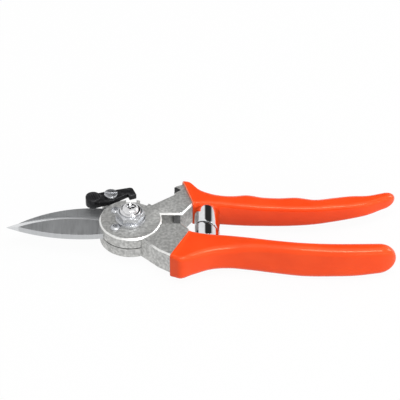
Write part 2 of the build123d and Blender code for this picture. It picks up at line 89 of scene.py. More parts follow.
class NodeSheet:
    """Short calls that lay out one node tree, for a material or for geometry."""

    def __init__(self, tree: bpy.types.NodeTree) -> None:
        """Keeps the tree.

        Args:
            tree: The node tree that the calls add to.
        """
        self.tree = tree

    def add(self, kind: str, **settings: object) -> bpy.types.Node:
        """Adds a node.

        Args:
            kind: Type name of the node.
            **settings: Properties of the node.

        Returns:
            The new node.
        """
        node = self.tree.nodes.new(kind)
        for key, value in settings.items():
            setattr(node, key, value)
        return node

    def feed(self, socket: Socket, value: Value) -> None:
        """Links an input to a socket, or sets the input's own value.

        Args:
            socket: The input.
            value: An output socket, a number or a row of numbers.
        """
        if isinstance(value, Socket):
            self.tree.links.new(value, socket)
        else:
            socket.default_value = value

    def math(self, operation: str, a: Value, b: Value = 0.0, c: Value = 0.0) -> Socket:
        """Works out one operation on numbers.

        Args:
            operation: Name of the operation.
            a: First operand.
            b: Second operand.
            c: Third operand.

        Returns:
            The result.
        """
        node = self.add("ShaderNodeMath", operation=operation)
        for socket, value in zip(node.inputs, (a, b, c)):
            self.feed(socket, value)
        return node.outputs[0]

    def place(self, stretch: Point = (1.0, 1.0, 1.0), turn: float = 0.0) -> Socket:
        """Object coordinates, turned about the upright axis and stretched.

        Args:
            stretch: Factor on each axis.
            turn: Angle about the upright axis, in degrees.

        Returns:
            The coordinates.
        """
        source = self.add("ShaderNodeTexCoord")
        mapping = self.add("ShaderNodeMapping")
        self.feed(mapping.inputs["Vector"], source.outputs["Object"])
        mapping.inputs["Scale"].default_value = stretch
        mapping.inputs["Rotation"].default_value = (0.0, 0.0, math.radians(turn))
        return mapping.outputs["Vector"]

    def noise(
        self, size: float, detail: float = 3.0, stretch: Point = (1.0, 1.0, 1.0), turn: float = 0.0
    ) -> Socket:
        """Cloudy grain.

        Args:
            size: Width of a grain, in millimetres.
            detail: Octaves of finer grain.
            stretch: Factor on each axis.
            turn: Angle about the upright axis, in degrees.

        Returns:
            A value about one half.
        """
        node = self.add("ShaderNodeTexNoise")
        self.feed(node.inputs["Vector"], self.place(stretch, turn))
        node.inputs["Scale"].default_value = 1.0 / (size * MM)
        node.inputs["Detail"].default_value = detail
        return node.outputs[0]

    def spread(self, value: Value, low: float, high: float, start: float = 0.3, end: float = 0.7) -> Socket:
        """Maps a range of a value onto another.

        Args:
            value: The value.
            low: Result at the start.
            high: Result at the end.
            start: Lowest value.
            end: Highest value.

        Returns:
            The mapped value.
        """
        node = self.add("ShaderNodeMapRange", interpolation_type="SMOOTHSTEP")
        for socket, number in zip(node.inputs, (value, start, end, low, high)):
            self.feed(socket, number)
        return node.outputs[0]

    def blend(self, share: Value, a: Colour | Value, b: Colour | Value) -> Socket:
        """Mixes two colours.

        Args:
            share: Share of the second colour.
            a: First colour.
            b: Second colour.

        Returns:
            The mixed colour.
        """
        node = self.add("ShaderNodeMix", data_type="RGBA")
        self.feed(node.inputs[0], share)
        for socket, colour in zip((node.inputs[6], node.inputs[7]), (a, b)):
            self.feed(socket, (*colour, 1.0) if isinstance(colour, tuple) else colour)
        return node.outputs[2]

    def bump(self, height: Value, depth: float, strength: float = 1.0, below: Value | None = None) -> Socket:
        """Turns a height into a slope of the surface.

        Args:
            height: Height, from 0 to 1.
            depth: Real depth, in millimetres.
            strength: Share of the effect.
            below: Slope that this one is laid on.

        Returns:
            The normal.
        """
        node = self.add("ShaderNodeBump")
        node.inputs["Strength"].default_value = strength
        node.inputs["Distance"].default_value = depth * MM
        self.feed(node.inputs["Height"], height)
        if below is not None:
            self.feed(node.inputs["Normal"], below)
        return node.outputs["Normal"]

    def close(self, shape: Socket, source: bpy.types.Node) -> None:
        """Ends a geometry tree with real meshes and their material.

        Args:
            shape: The geometry.
            source: The tree's input node, which has the finish.
        """
        whole, finish = self.add("GeometryNodeRealizeInstances"), self.add("GeometryNodeSetMaterial")
        self.feed(whole.inputs["Geometry"], shape)
        self.feed(finish.inputs["Geometry"], whole.outputs["Geometry"])
        self.feed(finish.inputs["Material"], source.outputs["Finish"])
        self.feed(self.add("NodeGroupOutput").inputs["Geometry"], finish.outputs["Geometry"])


def shaping_sheet(name: str, **kinds: str) -> NodeSheet:
    """Starts a geometry tree with named inputs and a finish.

    Args:
        name: Name of the tree.
        **kinds: Kind of each input, by its name.

    Returns:
        Calls on the tree.
    """
    tree = bpy.data.node_groups.new(name, "GeometryNodeTree")
    tree.interface.new_socket("Geometry", in_out="INPUT", socket_type="NodeSocketGeometry")
    for key, kind in (*kinds.items(), ("Finish", "Material")):
        tree.interface.new_socket(key, in_out="INPUT", socket_type=f"NodeSocket{kind}")
    tree.interface.new_socket("Geometry", in_out="OUTPUT", socket_type="NodeSocketGeometry")
    return NodeSheet(tree)


def run_tree(piece: bpy.types.Object, tree: bpy.types.NodeTree, values: dict[str, object]) -> None:
    """Adds a modifier that runs a geometry tree on a piece.

    Args:
        piece: The piece.
        tree: The tree.
        values: Values of its inputs, by name.
    """
    step = piece.modifiers.new(tree.name, "NODES")
    step.node_group = tree
    for item in tree.interface.items_tree:
        if item.name in values:
            step[item.identifier] = values[item.name]


@dataclass(frozen=True)
class Finish:
    """A finish that pieces share.

    Attributes:
        name: Name of the material.
        slot: The record's slot that it belongs to. It is not used.
        dark: Darker of its two colours.
        light: Lighter of its two colours.
        rough: Least and greatest roughness.
    """

    name: str
    slot: str
    dark: Colour
    light: Colour
    rough: tuple[float, float]

    def material(self) -> bpy.types.Material:
        """Makes the material, or finds it if it was made before.

        Returns:
            The material.
        """
        made = bpy.data.materials.get(self.name)
        if made is None:
            made = bpy.data.materials.new(self.name)
            made.use_nodes = True
            shader = made.node_tree.nodes["Principled BSDF"]
            self.paint(NodeSheet(made.node_tree), shader)
        return made

    def paint(self, sheet: NodeSheet, shader: bpy.types.Node) -> None:
        """Lays out the nodes of the finish.

        Args:
            sheet: Calls on the material's tree.
            shader: The shader to feed.
        """
        raise NotImplementedError

    def skin(
        self, sheet: NodeSheet, shader: bpy.types.Node, share: Socket, rubbing: Socket, metallic: float = 0.0
    ) -> None:
        """Feeds the colour, the roughness and the share of metal.

        Args:
            sheet: Calls on the material's tree.
            shader: The shader to feed.
            share: Share of the lighter colour.
            rubbing: Grain that the roughness follows.
            metallic: Share of metal.
        """
        sheet.feed(shader.inputs["Base Color"], sheet.blend(share, self.dark, self.light))
        sheet.feed(shader.inputs["Roughness"], sheet.spread(rubbing, *self.rough))
        shader.inputs["Metallic"].default_value = metallic

    def dress(self, piece: bpy.types.Object) -> None:
        """Gives a piece this finish.

        Args:
            piece: The piece.
        """
        piece.data.materials.clear()
        piece.data.materials.append(self.material())


@dataclass(frozen=True)
class DippedVinyl(Finish):
    """Soft-gloss vinyl that a handle was dipped in: even colour, a faint orange-peel skin.

    Attributes:
        peel: Width of a dimple of the skin, in millimetres.
    """

    peel: float = 1.3

    def paint(self, sheet: NodeSheet, shader: bpy.types.Node) -> None:
        """Lays out the nodes of the finish.

        Args:
            sheet: Calls on the material's tree.
            shader: The shader to feed.
        """
        self.skin(sheet, shader, sheet.spread(sheet.noise(14.0, 2.0), 0.0, 1.0), sheet.noise(5.0, 4.0))
        shader.inputs["Specular IOR Level"].default_value = 0.5
        shader.inputs["Specular Tint"].default_value = (1.0, 0.68, 0.44, 1.0)
        shader.inputs["Coat Weight"].default_value = 0.03
        shader.inputs["Coat Roughness"].default_value = 0.13
        waves = sheet.bump(sheet.noise(9.0, 1.0), 0.025, 0.6)
        sheet.feed(shader.inputs["Normal"], sheet.bump(sheet.noise(self.peel, 2.0), 0.012, 0.5, waves))


@dataclass(frozen=True)
class BlastedCasting(Finish):
    """Matte blasted light-alloy casting with a mottled, faintly pitted skin."""

    def paint(self, sheet: NodeSheet, shader: bpy.types.Node) -> None:
        """Lays out the nodes of the finish.

        Args:
            sheet: Calls on the material's tree.
            shader: The shader to feed.
        """
        mottle = sheet.spread(sheet.noise(1.5, 6.0), 0.0, 1.0)
        self.skin(sheet, shader, mottle, sheet.noise(0.7, 4.0), 1.0)
        pits = sheet.bump(sheet.noise(0.28, 3.0), 0.03, 0.4)
        sheet.feed(shader.inputs["Normal"], sheet.bump(sheet.noise(5.0, 3.0), 0.08, 0.3, pits))


@dataclass(frozen=True)
class GroundSteel(Finish):
    """Ground blade steel: fine lines across the blade, and a polished band along its edge.

    Attributes:
        centre: Plan centre of the circle that the edge follows, in millimetres.
        radius: Radius of that circle.
        band: Width of the polished band.
        inside: Whether the steel lies inside the circle.
        turn: Angle of the grinding lines.
    """

    centre: tuple[float, float] = (0.0, 0.0)
    radius: float = 1.0
    band: float = 6.0
    inside: bool = True
    turn: float = 0.0

    def paint(self, sheet: NodeSheet, shader: bpy.types.Node) -> None:
        """Lays out the nodes of the finish.

        Args:
            sheet: Calls on the material's tree.
            shader: The shader to feed.
        """
        parts = sheet.add("ShaderNodeSeparateXYZ")
        sheet.feed(parts.inputs[0], sheet.place())
        across = sheet.math("SUBTRACT", parts.outputs[0], self.centre[0] * MM)
        up = sheet.math("SUBTRACT", parts.outputs[1], self.centre[1] * MM)
        squares = sheet.math("ADD", sheet.math("POWER", across, 2.0), sheet.math("POWER", up, 2.0))
        reach = sheet.math("SQRT", squares)
        depth = sheet.math("SUBTRACT", self.radius * MM, reach)
        if not self.inside:
            depth = sheet.math("MULTIPLY", depth, -1.0)
        flat = sheet.spread(depth, 0.0, 1.0, (self.band - 0.15) * MM, (self.band + 0.05) * MM)
        lines = sheet.noise(0.16, 6.0, (1.0, 0.02, 0.02), self.turn)
        clouds = sheet.noise(7.0, 3.0)
        tone = sheet.blend(sheet.spread(lines, 0.0, 1.0, 0.2, 0.8), self.dark, self.light)
        polished = tuple(min(1.0, channel * 1.12) for channel in self.light)
        sheet.feed(shader.inputs["Base Color"], sheet.blend(flat, polished, tone))
        grain = sheet.math("MULTIPLY_ADD", clouds, 0.08, sheet.spread(lines, *self.rough))
        sheet.feed(shader.inputs["Roughness"], sheet.spread(flat, self.rough[0] * 0.6, grain, 0.0, 1.0))
        shader.inputs["Metallic"].default_value = 1.0
        sheet.feed(shader.inputs["Normal"], sheet.bump(lines, 0.004, 0.3))


@dataclass(frozen=True)
class PlatedMetal(Finish):
    """Plated or bare metal of a turned or formed part, with fine handling marks.

    Attributes:
        mark: Width of a mark, in millimetres.
        depth: Depth of a mark, in millimetres.
    """

    mark: float = 0.8
    depth: float = 0.006

    def paint(self, sheet: NodeSheet, shader: bpy.types.Node) -> None:
        """Lays out the nodes of the finish.

        Args:
            sheet: Calls on the material's tree.
            shader: The shader to feed.
        """
        cloud = sheet.spread(sheet.noise(3.0, 4.0), 0.0, 1.0)
        marks = sheet.noise(self.mark, 4.0, (1.0, 0.25, 1.0), 35.0)
        self.skin(sheet, shader, cloud, marks, 1.0)
        sheet.feed(shader.inputs["Normal"], sheet.bump(marks, self.depth, 0.4))


@dataclass(frozen=True)
class DullBlack(Finish):
    """Black skin of rubber or of oxidised steel, rubbed lighter in patches; also laid as painted shade in a
    casting's pocket.

    Attributes:
        metallic: Share of metal in the shader.
        grain: Width of its grain, in millimetres.
    """

    metallic: float = 0.0
    grain: float = 0.6

    def paint(self, sheet: NodeSheet, shader: bpy.types.Node) -> None:
        """Lays out the nodes of the finish.

        Args:
            sheet: Calls on the material's tree.
            shader: The shader to feed.
        """
        rubbed = sheet.spread(sheet.noise(4.0, 5.0), 0.0, 1.0, 0.45, 0.75)
        self.skin(sheet, shader, rubbed, sheet.noise(2.0, 3.0), self.metallic)
        sheet.feed(shader.inputs["Normal"], sheet.bump(sheet.noise(self.grain, 3.0), 0.03, 0.4))


VINYL = DippedVinyl("dipped_vinyl", "orange_vinyl", (0.95, 0.068, 0.009), (1.0, 0.078, 0.011), (0.20, 0.26))
CASTING = BlastedCasting(
    "blasted_casting", "cast_aluminium", (0.41, 0.41, 0.40), (0.64, 0.64, 0.625), (0.50, 0.60)
)
# Painted highlight: paler vinyl laid along the lip's upper and lower edges.
LIP_HIGHLIGHT_PAINT = DippedVinyl("stretched_lip", "orange_vinyl", (1.0, 0.24, 0.13), (1.0, 0.30, 0.17), (0.30, 0.38))
# Worn chamfers of the bare casting: smoother metal, and painted much lighter as a highlight.
RUBBED_RIM_AND_HIGHLIGHT = BlastedCasting("rubbed_rim", "cast_aluminium", (0.82, 0.82, 0.80), (0.92, 0.92, 0.90), (0.30, 0.40))
# Painted shade: a near-black finish laid in a casting's pocket in place of the shadow there.
POCKET_SHADE_PAINT = DullBlack("blackened_pocket", "cast_aluminium", (0.03, 0.03, 0.031), (0.11, 0.11, 0.11), (0.6, 0.8))
ZINC = PlatedMetal("zinc_plate", "plated_steel", (0.52, 0.53, 0.55), (0.62, 0.63, 0.65), (0.24, 0.36))
NICKEL = PlatedMetal("bright_nickel", "bright_plating", (0.74, 0.74, 0.75), (0.82, 0.82, 0.83), (0.07, 0.14))
CHROME = PlatedMetal(
    "spring_plate", "spring_chrome", (0.80, 0.81, 0.83), (0.86, 0.87, 0.89), (0.03, 0.06), mark=1.5, depth=0.002
)
BRONZE = PlatedMetal("oiled_bronze", "bronze", (0.38, 0.24, 0.10), (0.52, 0.34, 0.15), (0.34, 0.5))
RUBBER = DullBlack("bumper_rubber", "black_rubber", (0.055, 0.055, 0.055), (0.105, 0.105, 0.105), (0.62, 0.8))
OXIDE = DullBlack("black_oxide", "black_lever", (0.018, 0.018, 0.02), (0.06, 0.06, 0.063), (0.3, 0.45), 0.6, 0.9)
RIM_HIGHLIGHT_SLOPE = (0.55, 0.85)
# Where the lip's painted highlight starts, and the least slope of the faces that take it.
LIP_AHEAD = 0.2
LIP_SLOPE = 0.3


@contextmanager
def editing(mesh: bpy.types.Mesh) -> Iterator[bmesh.types.BMesh]:
    """Opens a mesh, and writes it back afterwards.

    Args:
        mesh: The mesh.

    Yields:
        The open mesh.
    """
    work = bmesh.new()
    work.from_mesh(mesh)
    yield work
    work.to_mesh(mesh)
    work.free()


def linked(name: str, data: bpy.types.ID) -> bpy.types.Object:
    """Makes an object and links it to the scene.

    Args:
        name: Name of the object.
        data: Its mesh, lamp or camera.

    Returns:
        The object.
    """
    made = bpy.data.objects.new(name, data)
    bpy.context.scene.collection.objects.link(made)
    return made


def piece_from(name: str, points: Sequence[Point], faces: Sequence[Sequence[int]]) -> bpy.types.Object:
    """Makes a mesh object from points and faces, with its faces turned outwards.

    Args:
        name: Name of the piece.
        points: Points, in metres.
        faces: Point numbers of each face.

    Returns:
        The object, linked to the scene.
    """
    mesh = bpy.data.meshes.new(name)
    mesh.from_pydata([tuple(map(float, point)) for point in points], [], faces)
    with editing(mesh) as work:
        bmesh.ops.recalc_face_normals(work, faces=work.faces)
    return linked(name, mesh)


def settle(piece: bpy.types.Object) -> bpy.types.Object:
    """Turns a piece with modifiers into a plain mesh.

    Args:
        piece: The piece.

    Returns:
        The same piece, without modifiers.
    """
    bpy.context.view_layer.update()
    seen = piece.evaluated_get(bpy.context.evaluated_depsgraph_get())
    made = bpy.data.meshes.new_from_object(seen)
    piece.modifiers.clear()
    made.name = piece.name
    piece.data = made
    return piece


def smooth(piece: bpy.types.Object, sharp: float = 35.0) -> bpy.types.Object:
    """Shades a piece smooth, apart from edges over an angle.

    Args:
        piece: The piece.
        sharp: The angle, in degrees.

    Returns:
        The same piece.
    """
    piece.data.shade_smooth()
    piece.data.set_sharp_from_angle(angle=math.radians(sharp))
    return piece


def cut(piece: bpy.types.Object, tool: bpy.types.Object, operation: str = "DIFFERENCE") -> bpy.types.Object:
    """Takes a closed tool out of a piece, or joins it on, and removes the tool.

    Args:
        piece: The piece.
        tool: The other shape.
        operation: What is done with the two.

    Returns:
        The piece.
    """
    step = piece.modifiers.new("cut", "BOOLEAN")
    step.operation = operation
    step.solver = "EXACT"
    step.object = tool
    settle(piece)
    bpy.data.objects.remove(tool)
    return piece


def ease(piece: bpy.types.Object, width: float, steps: int, chosen: Callable[[Vector, float], bool]) -> None:
    """Rounds or chamfers edges of a piece.

    Args:
        piece: The piece.
        width: Width of the eased edge, in millimetres.
        steps: Faces across it.
        chosen: Says from the middle of an edge in millimetres and its angle in degrees whether it is eased.
    """
    with editing(piece.data) as work:
        edges = []
        for edge in work.edges:
            if len(edge.link_faces) == 2:
                middle = (edge.verts[0].co + edge.verts[1].co) / (2 * MM)
                if chosen(middle, math.degrees(edge.calc_face_angle(0.0))):
                    edges.append(edge)
        bmesh.ops.bevel(
            work,
            geom=edges,
            offset=width * MM,
            offset_type="OFFSET",
            segments=steps,
            profile=0.5,
            affect="EDGES",
            clamp_overlap=False,
        )
        bmesh.ops.recalc_face_normals(work, faces=work.faces)


def copy_of(node: str) -> bpy.types.Object:
    """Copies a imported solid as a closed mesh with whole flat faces.

    Args:
        node: Name of the solid.

    Returns:
        The copy.
    """
    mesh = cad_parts[node].data.copy()
    with editing(mesh) as work:
        bmesh.ops.remove_doubles(work, verts=work.verts, dist=WELD * MM)
        bmesh.ops.dissolve_limit(work, angle_limit=math.radians(0.3), verts=work.verts, edges=work.edges)
    return linked(f"{node}_finished", mesh)


def stand_for(piece: bpy.types.Object, body: Body, finish: Finish, *nodes: str) -> bpy.types.Object:
    """Dresses a piece, sets it on its body and lets it stand for solids.

    Args:
        piece: The piece.
        body: The body that it rides on.
        finish: Its finish.
        *nodes: Solids that it stands for.

    Returns:
        The piece.
    """
    finish.dress(piece)
    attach(piece, body.value)
    if nodes:
        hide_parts(*nodes)
    LOG.info("%s: %d faces on %s", piece.name, len(piece.data.polygons), body.value)
    return piece


def eased_solid(node: str, body: Body, finish: Finish, width: float, sharp: float = 30.0) -> bpy.types.Object:
    """Lets a copy of a solid with rounded edges stand for it.

    Args:
        node: Name of the solid.
        body: The body that it rides on.
        finish: Its finish.
        width: Width of the rounded edges, in millimetres.
        sharp: Angle over which an edge is rounded, in degrees.

    Returns:
        The copy.
    """
    piece = copy_of(node)
    ease(piece, width, 2, lambda middle, angle: angle > sharp)
    return stand_for(smooth(piece), body, finish, node)


def lathe(name: str, profile: Sequence[tuple[float, float]], steps: int = 64) -> bpy.types.Object:
    """Turns a profile about the upright axis.

    Args:
        name: Name of the piece.
        profile: Radius and height of each point in millimetres, from axis to axis.
        steps: Points round the axis.

    Returns:
        The turned piece.
    """
    points: list[Point] = [(0.0, 0.0, profile[0][1] * MM)]
    for radius, height in profile[1:-1]:
        for step in range(steps):
            turn = 2 * math.pi * step / steps
            points.append((radius * MM * math.cos(turn), radius * MM * math.sin(turn), height * MM))
    points.append((0.0, 0.0, profile[-1][1] * MM))
    faces: list[Sequence[int]] = []
    for step in range(steps):
        after = (step + 1) % steps
        faces.append((0, 1 + step, 1 + after))
        for ring in range(len(profile) - 3):
            low = 1 + ring * steps
            faces.append((low + step, low + steps + step, low + steps + after, low + after))
        low = 1 + (len(profile) - 3) * steps
        faces.append((low + step, len(points) - 1, low + after))
    return piece_from(name, points, faces)


def moved(piece: bpy.types.Object, place: Matrix) -> bpy.types.Object:
    """Moves a piece's mesh, and leaves its object at the origin.

    Args:
        piece: The piece.
        place: The move, in metres.

    Returns:
        The piece.
    """
    piece.data.transform(place)
    piece.data.update()
    return piece


def run_through(shares: Sequence[float], values: Sequence[float], at: np.ndarray) -> np.ndarray:
    """Smooth curve through values.

    Args:
        shares: Rising places of the values.
        values: The values.
        at: Places to read.

    Returns:
        The values there.
    """
    x, y = np.array(shares), np.array(values)
    slope = np.gradient(y, x)
    left = np.clip(np.searchsorted(x, at, side="right") - 1, 0, len(x) - 2)
    span = x[left + 1] - x[left]
    t = (at - x[left]) / span
    return (
        (2 * t**3 - 3 * t**2 + 1) * y[left]
        + (t**3 - 2 * t**2 + t) * span * slope[left]
        + (3 * t**2 - 2 * t**3) * y[left + 1]
        + (t**3 - t**2) * span * slope[left + 1]
    )


@dataclass
class Ring:
    """One cross-section of a grip.

    Attributes:
        inner: Plan point on the inner wall, in millimetres.
        outer: Plan point on the outer wall.
        thick: Thickness.
        inner_round: Round of the inner edges.
        outer_round: Round of the outer edges.
    """

    inner: np.ndarray
    outer: np.ndarray
    thick: float
    inner_round: float
    outer_round: float

    def axes(self) -> tuple[np.ndarray, np.ndarray]:
        """Plan directions of the section.

        Returns:
            The direction from the inner to the outer wall, and the one towards the hub.
        """
        across = (self.outer - self.inner) / np.linalg.norm(self.outer - self.inner)
        towards = np.array((-across[1], across[0]))
        return across, towards if towards[0] < 0 else -towards

    def points(self, inset: float = 0.0, ahead: float = 0.0) -> np.ndarray:
        """Points round the section.

        Args:
            inset: How far it is drawn in all round, in millimetres.
            ahead: How far it is moved towards the hub.

        Returns:
            Points in metres.
        """
        across, towards = self.axes()
        width = np.linalg.norm(self.outer - self.inner) - 2 * inset
        half = self.thick / 2 - inset
        least = 0.05 * half
        a, b = max(self.inner_round - inset, least), max(self.outer_round - inset, least)
        corners = [(a, half - a, a, 180), (width - b, half - b, b, 90)]
        corners += [(width - b, b - half, b, 0), (a, a - half, a, -90)]
        loop: list[tuple[float, float]] = []
        for middle, height, radius, start in corners:
            for turn in np.linspace(start, start - 90, CORNER_STEPS):
                angle = math.radians(turn)
                loop.append((middle + radius * math.cos(angle), height + radius * math.sin(angle)))
        flat = np.array(loop)
        after = np.roll(flat, -1, axis=0)
        rows = []
        for number, (here, there) in enumerate(zip(flat, after)):
            rows.append(here)
            if (number + 1) % CORNER_STEPS == 0:
                rows.extend(here + (there - here) * share for share in (0.25, 0.5, 0.75))
        local = np.array(rows)
        base = self.inner + across * inset + towards * ahead
        plan = base + local[:, :1] * across
        return np.column_stack((plan, local[:, 1] + MIDDLE_HEIGHT)) * MM


@dataclass
class Grip:
    """Dipped grip of one handle, with a rolled lip at the hub and a pocket for the spring's stud.

    Attributes:
        node: Solid that it stands for.
        stud: Solid of the spring's stud in it.
        body: Body that it rides on.
        start: Reach of its first section from the pivot.
        reach: Reach of its end.
        far_thick: Thickness where the swell is whole.
        sections: Share of the length, inner y, outer y, lean, swell, inner round and outer round of each section.
        towards: Direction from the stud's seat to the spring, along y.
        lip: Proud height of the rolled lip.
        pocket: Radius of the stud's pocket.
    """

    node: str
    stud: str
    body: Body
    start: float
    reach: float
    far_thick: float
    sections: Sequence[tuple[float, float, float, float, float, float, float]]
    towards: int
    lip: float = 0.38
    pocket: float = 6.3

    def rings(self) -> list[Ring]:
        """Sections from the lip to the last one before the rounded end.

        Returns:
            The sections.
        """
        table = np.array(self.sections)
        near = np.array((0.0, 0.35, 0.7, 1.1, 1.6, 2.2, 3.0)) / (self.reach - self.start)
        shares = np.concatenate((near, np.linspace(near[-1], table[-1, 0], 130)[1:]))
        columns = [run_through(table[:, 0], table[:, column], shares) for column in range(1, 7)]
        root = TANG_THICK + 2 * COAT
        rings = []
        for share, inner_y, outer_y, lean, swell, inner_round, outer_round in zip(shares, *columns):
            x = self.start + share * (self.reach - self.start)
            thick = root + swell * (self.far_thick - root)
            inner, outer = np.array((x + lean / 2, inner_y)), np.array((x - lean / 2, outer_y))
            rings.append(Ring(inner, outer, thick, inner_round, outer_round))
        return rings

    def end_rings(self, last: Ring, before: Ring) -> list[Ring]:
        """Sections of the rounded end.

        Args:
            last: Last full section.
            before: A section some way before it.

        Returns:
            The sections.
        """
        middle = (last.inner + last.outer) / 2
        run = middle - (before.inner + before.outer) / 2
        run = run / run[0] * (self.reach - middle[0])
        rings = []
        for turn in (8, 16, 24, 32, 40, 48, 55, 62, 68, 74, 79, 83, 86.5):
            ahead = middle + run * math.sin(math.radians(turn))
            size = math.cos(math.radians(turn))
            half = (last.outer - last.inner) * size / 2
            rounds = (last.inner_round * size, last.outer_round * size)
            rings.append(Ring(ahead - half, ahead + half, last.thick * size, *rounds))
        return rings

    def build(self) -> bpy.types.Object:
        """Builds the grip, its lip and its pocket, and lets it stand for its solid.

        Returns:
            The grip.
        """
        body = self.rings()
        end = self.end_rings(body[-1], body[-14])
        tuck = COAT + 0.3
        layers = [body[0].points(tuck, ahead) for ahead in (-1.6, -0.5)]
        roll = COAT / 2 + self.lip / 2
        for turn in np.linspace(165, 15, 9):
            angle = math.radians(turn)
            layers.append(body[0].points(roll * (1 - math.cos(angle)) - self.lip, roll * math.sin(angle)))
        for ring in body:
            gone = (ring.inner[0] - body[0].inner[0] + ring.outer[0] - body[0].outer[0]) / 2
            layers.append(ring.points(-self.lip * math.exp(-((gone / 1.1) ** 2))))
        layers.extend(ring.points() for ring in end)
        count = len(layers[0])
        points = [tuple(point) for layer in layers for point in layer]
        points.append(tuple(np.mean(layers[-1], axis=0)))
        faces: list[Sequence[int]] = [tuple(range(count))]
        for ring in range(len(layers) - 1):
            low = ring * count
            for step in range(count):
                after = (step + 1) % count
                faces.append((low + step, low + count + step, low + count + after, low + after))
        low = (len(layers) - 1) * count
        faces.extend((low + step, len(points) - 1, low + (step + 1) % count) for step in range(count))
        piece = piece_from(f"{self.node}_coat", points, faces)
        self.sink_pocket(piece)
        stand_for(smooth(piece, 50), self.body, VINYL, self.node)
        self.paint_lip_highlight(piece, body[0])
        return piece

    def paint_lip_highlight(self, piece: bpy.types.Object, first: Ring) -> None:
        """Paints the upper and lower edges of the lip paler, as a painted highlight.

        Args:
            piece: The grip.
            first: Its first section.
        """
        piece.data.materials.append(LIP_HIGHLIGHT_PAINT.material())
        towards = first.axes()[1]
        for face in piece.data.polygons:
            ahead = float(np.dot(np.array(face.center.xy) / MM - first.inner, towards))
            # Lip faces that face up or down take the paler vinyl: painted highlight.
            if ahead > LIP_AHEAD and abs(face.normal.z) > LIP_SLOPE:
                face.material_index = 1

    def sink_pocket(self, piece: bpy.types.Object) -> None:
        """Sinks the pocket of the spring's stud, with a rounded mouth.

        Args:
            piece: The grip.
        """
        low, high = (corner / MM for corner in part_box(self.stud))
        sunk, depth = 5.0, 9.0
        seat = low.y + sunk if self.towards > 0 else high.y - sunk
        x, z = (low.x + high.x) / 2, (low.z + high.z) / 2
        tool = lathe("pocket", [(0, 0), (self.pocket, 0), (self.pocket, depth), (0, depth)], 96)
        turn = Matrix.Rotation(math.radians(-90 * self.towards), 4, "X")
        moved(tool, Matrix.Translation(Vector((x, seat, z)) * MM) @ turn)
        cut(piece, tool)

        def at_mouth(middle: Vector, angle: float) -> bool:
            """Whether an edge is on the pocket's mouth."""
            reach = math.hypot(middle.x - x, middle.z - z)
            return abs(reach - self.pocket) < 0.06 and angle > 30 and (middle.y - seat) * self.towards > 0.3

        ease(piece, 0.35, 3, at_mouth)


PALM_SECTIONS = (
    (0.000, -10.2, -30.0, 10.0, 0.00, 1.6, 1.6),
    (0.028, -10.2, -32.7, 7.4, 0.00, 2.0, 2.4),
    (0.066, -10.7, -30.6, 3.6, 0.00, 2.4, 3.4),
    (0.137, -11.5, -26.8, 0.8, 0.00, 3.0, 3.8),
    (0.218, -12.6, -25.3, 0.0, 0.12, 3.4, 3.8),
    (0.316, -15.4, -25.4, 0.0, 0.54, 3.4, 3.8),
    (0.432, -18.5, -27.0, 0.0, 0.82, 3.4, 3.8),
    (0.566, -21.0, -28.9, 0.0, 1.00, 3.4, 3.8),
    (0.700, -21.3, -29.7, 0.0, 0.82, 3.4, 3.8),
    (0.820, -20.9, -29.5, 0.0, 0.68, 3.4, 3.8),
    (0.916, -20.1, -28.3, 0.0, 0.46, 3.4, 3.8),
)
FINGER_SECTIONS = (
    (0.000, 11.9, 30.5, 5.7, 0.00, 1.6, 1.6),
    (0.018, 11.8, 30.9, 4.4, -0.03, 2.0, 2.4),
    (0.050, 11.6, 25.7, 1.6, -0.08, 2.4, 3.5),
    (0.100, 11.3, 22.4, 0.0, -0.11, 2.5, 4.5),
    (0.155, 10.8, 20.6, 0.0, -0.11, 2.5, 4.6),
    (0.218, 9.9, 20.5, 0.0, -0.05, 2.5, 4.8),
    (0.281, 9.2, 21.4, 0.0, 0.00, 2.5, 4.8),
    (0.354, 8.6, 20.0, 0.0, 0.11, 2.5, 4.8),
    (0.436, 8.3, 19.6, 0.0, 0.17, 2.5, 4.8),
    (0.516, 8.3, 20.4, 0.0, 0.26, 2.5, 4.8),
    (0.612, 9.0, 19.0, 0.0, 0.38, 2.5, 4.6),
    (0.703, 10.6, 21.1, 0.0, 0.54, 2.5, 4.4),
    (0.784, 12.3, 22.9, 0.0, 0.71, 2.5, 4.0),
    (0.866, 14.9, 23.5, 0.0, 0.83, 2.5, 3.6),
    (0.942, 19.0, 26.0, 0.0, 1.00, 2.5, 3.0),
)


@dataclass
class Casting:
    """Cast hub, neck and tang of one half, with worn rims that are also painted lighter as a highlight.

    Attributes:
        node: Solid that it stands for.
        body: Body that it rides on.
        bare_end: Reach of the bare metal from the pivot, in millimetres.
        pocket: Lowest and highest corner of a pocket painted near-black as shade, in millimetres, where it has
            one.
    """

    node: str
    body: Body
    bare_end: float = 36.0
    pocket: tuple[Point, Point] | None = None

    def build(self) -> bpy.types.Object:
        """Lets a smoothly shaded copy stand for the solid, gives its worn rims a lighter finish that is also a
        painted highlight, and paints its pocket near-black as painted shade.

        Returns:
            The casting.
        """
        piece = stand_for(smooth(copy_of(self.node), 28), self.body, CASTING, self.node)
        piece.data.materials.append(RUBBED_RIM_AND_HIGHLIGHT.material())
        piece.data.materials.append(POCKET_SHADE_PAINT.material())
        # Chamfer faces, picked by their slope, take the lighter rim finish: worn metal and a painted highlight.
        least, most = RIM_HIGHLIGHT_SLOPE
        for face in piece.data.polygons:
            if face.center.x < self.bare_end * MM and least < abs(face.normal.z) < most:
                face.material_index = 1
            # Faces inside the pocket take the near-black finish: painted shade.
            elif self.in_painted_shade(face.center / MM):
                face.material_index = 2
        return piece

    def in_painted_shade(self, point: Vector) -> bool:
        """Whether a point is in the pocket that is painted near-black as shade.

        Args:
            point: The point, in millimetres.

        Returns:
            Whether it is.
        """
        if self.pocket is None:
            return False
        low, high = self.pocket
        return all(a < value < b for a, value, b in zip(low, point, high))


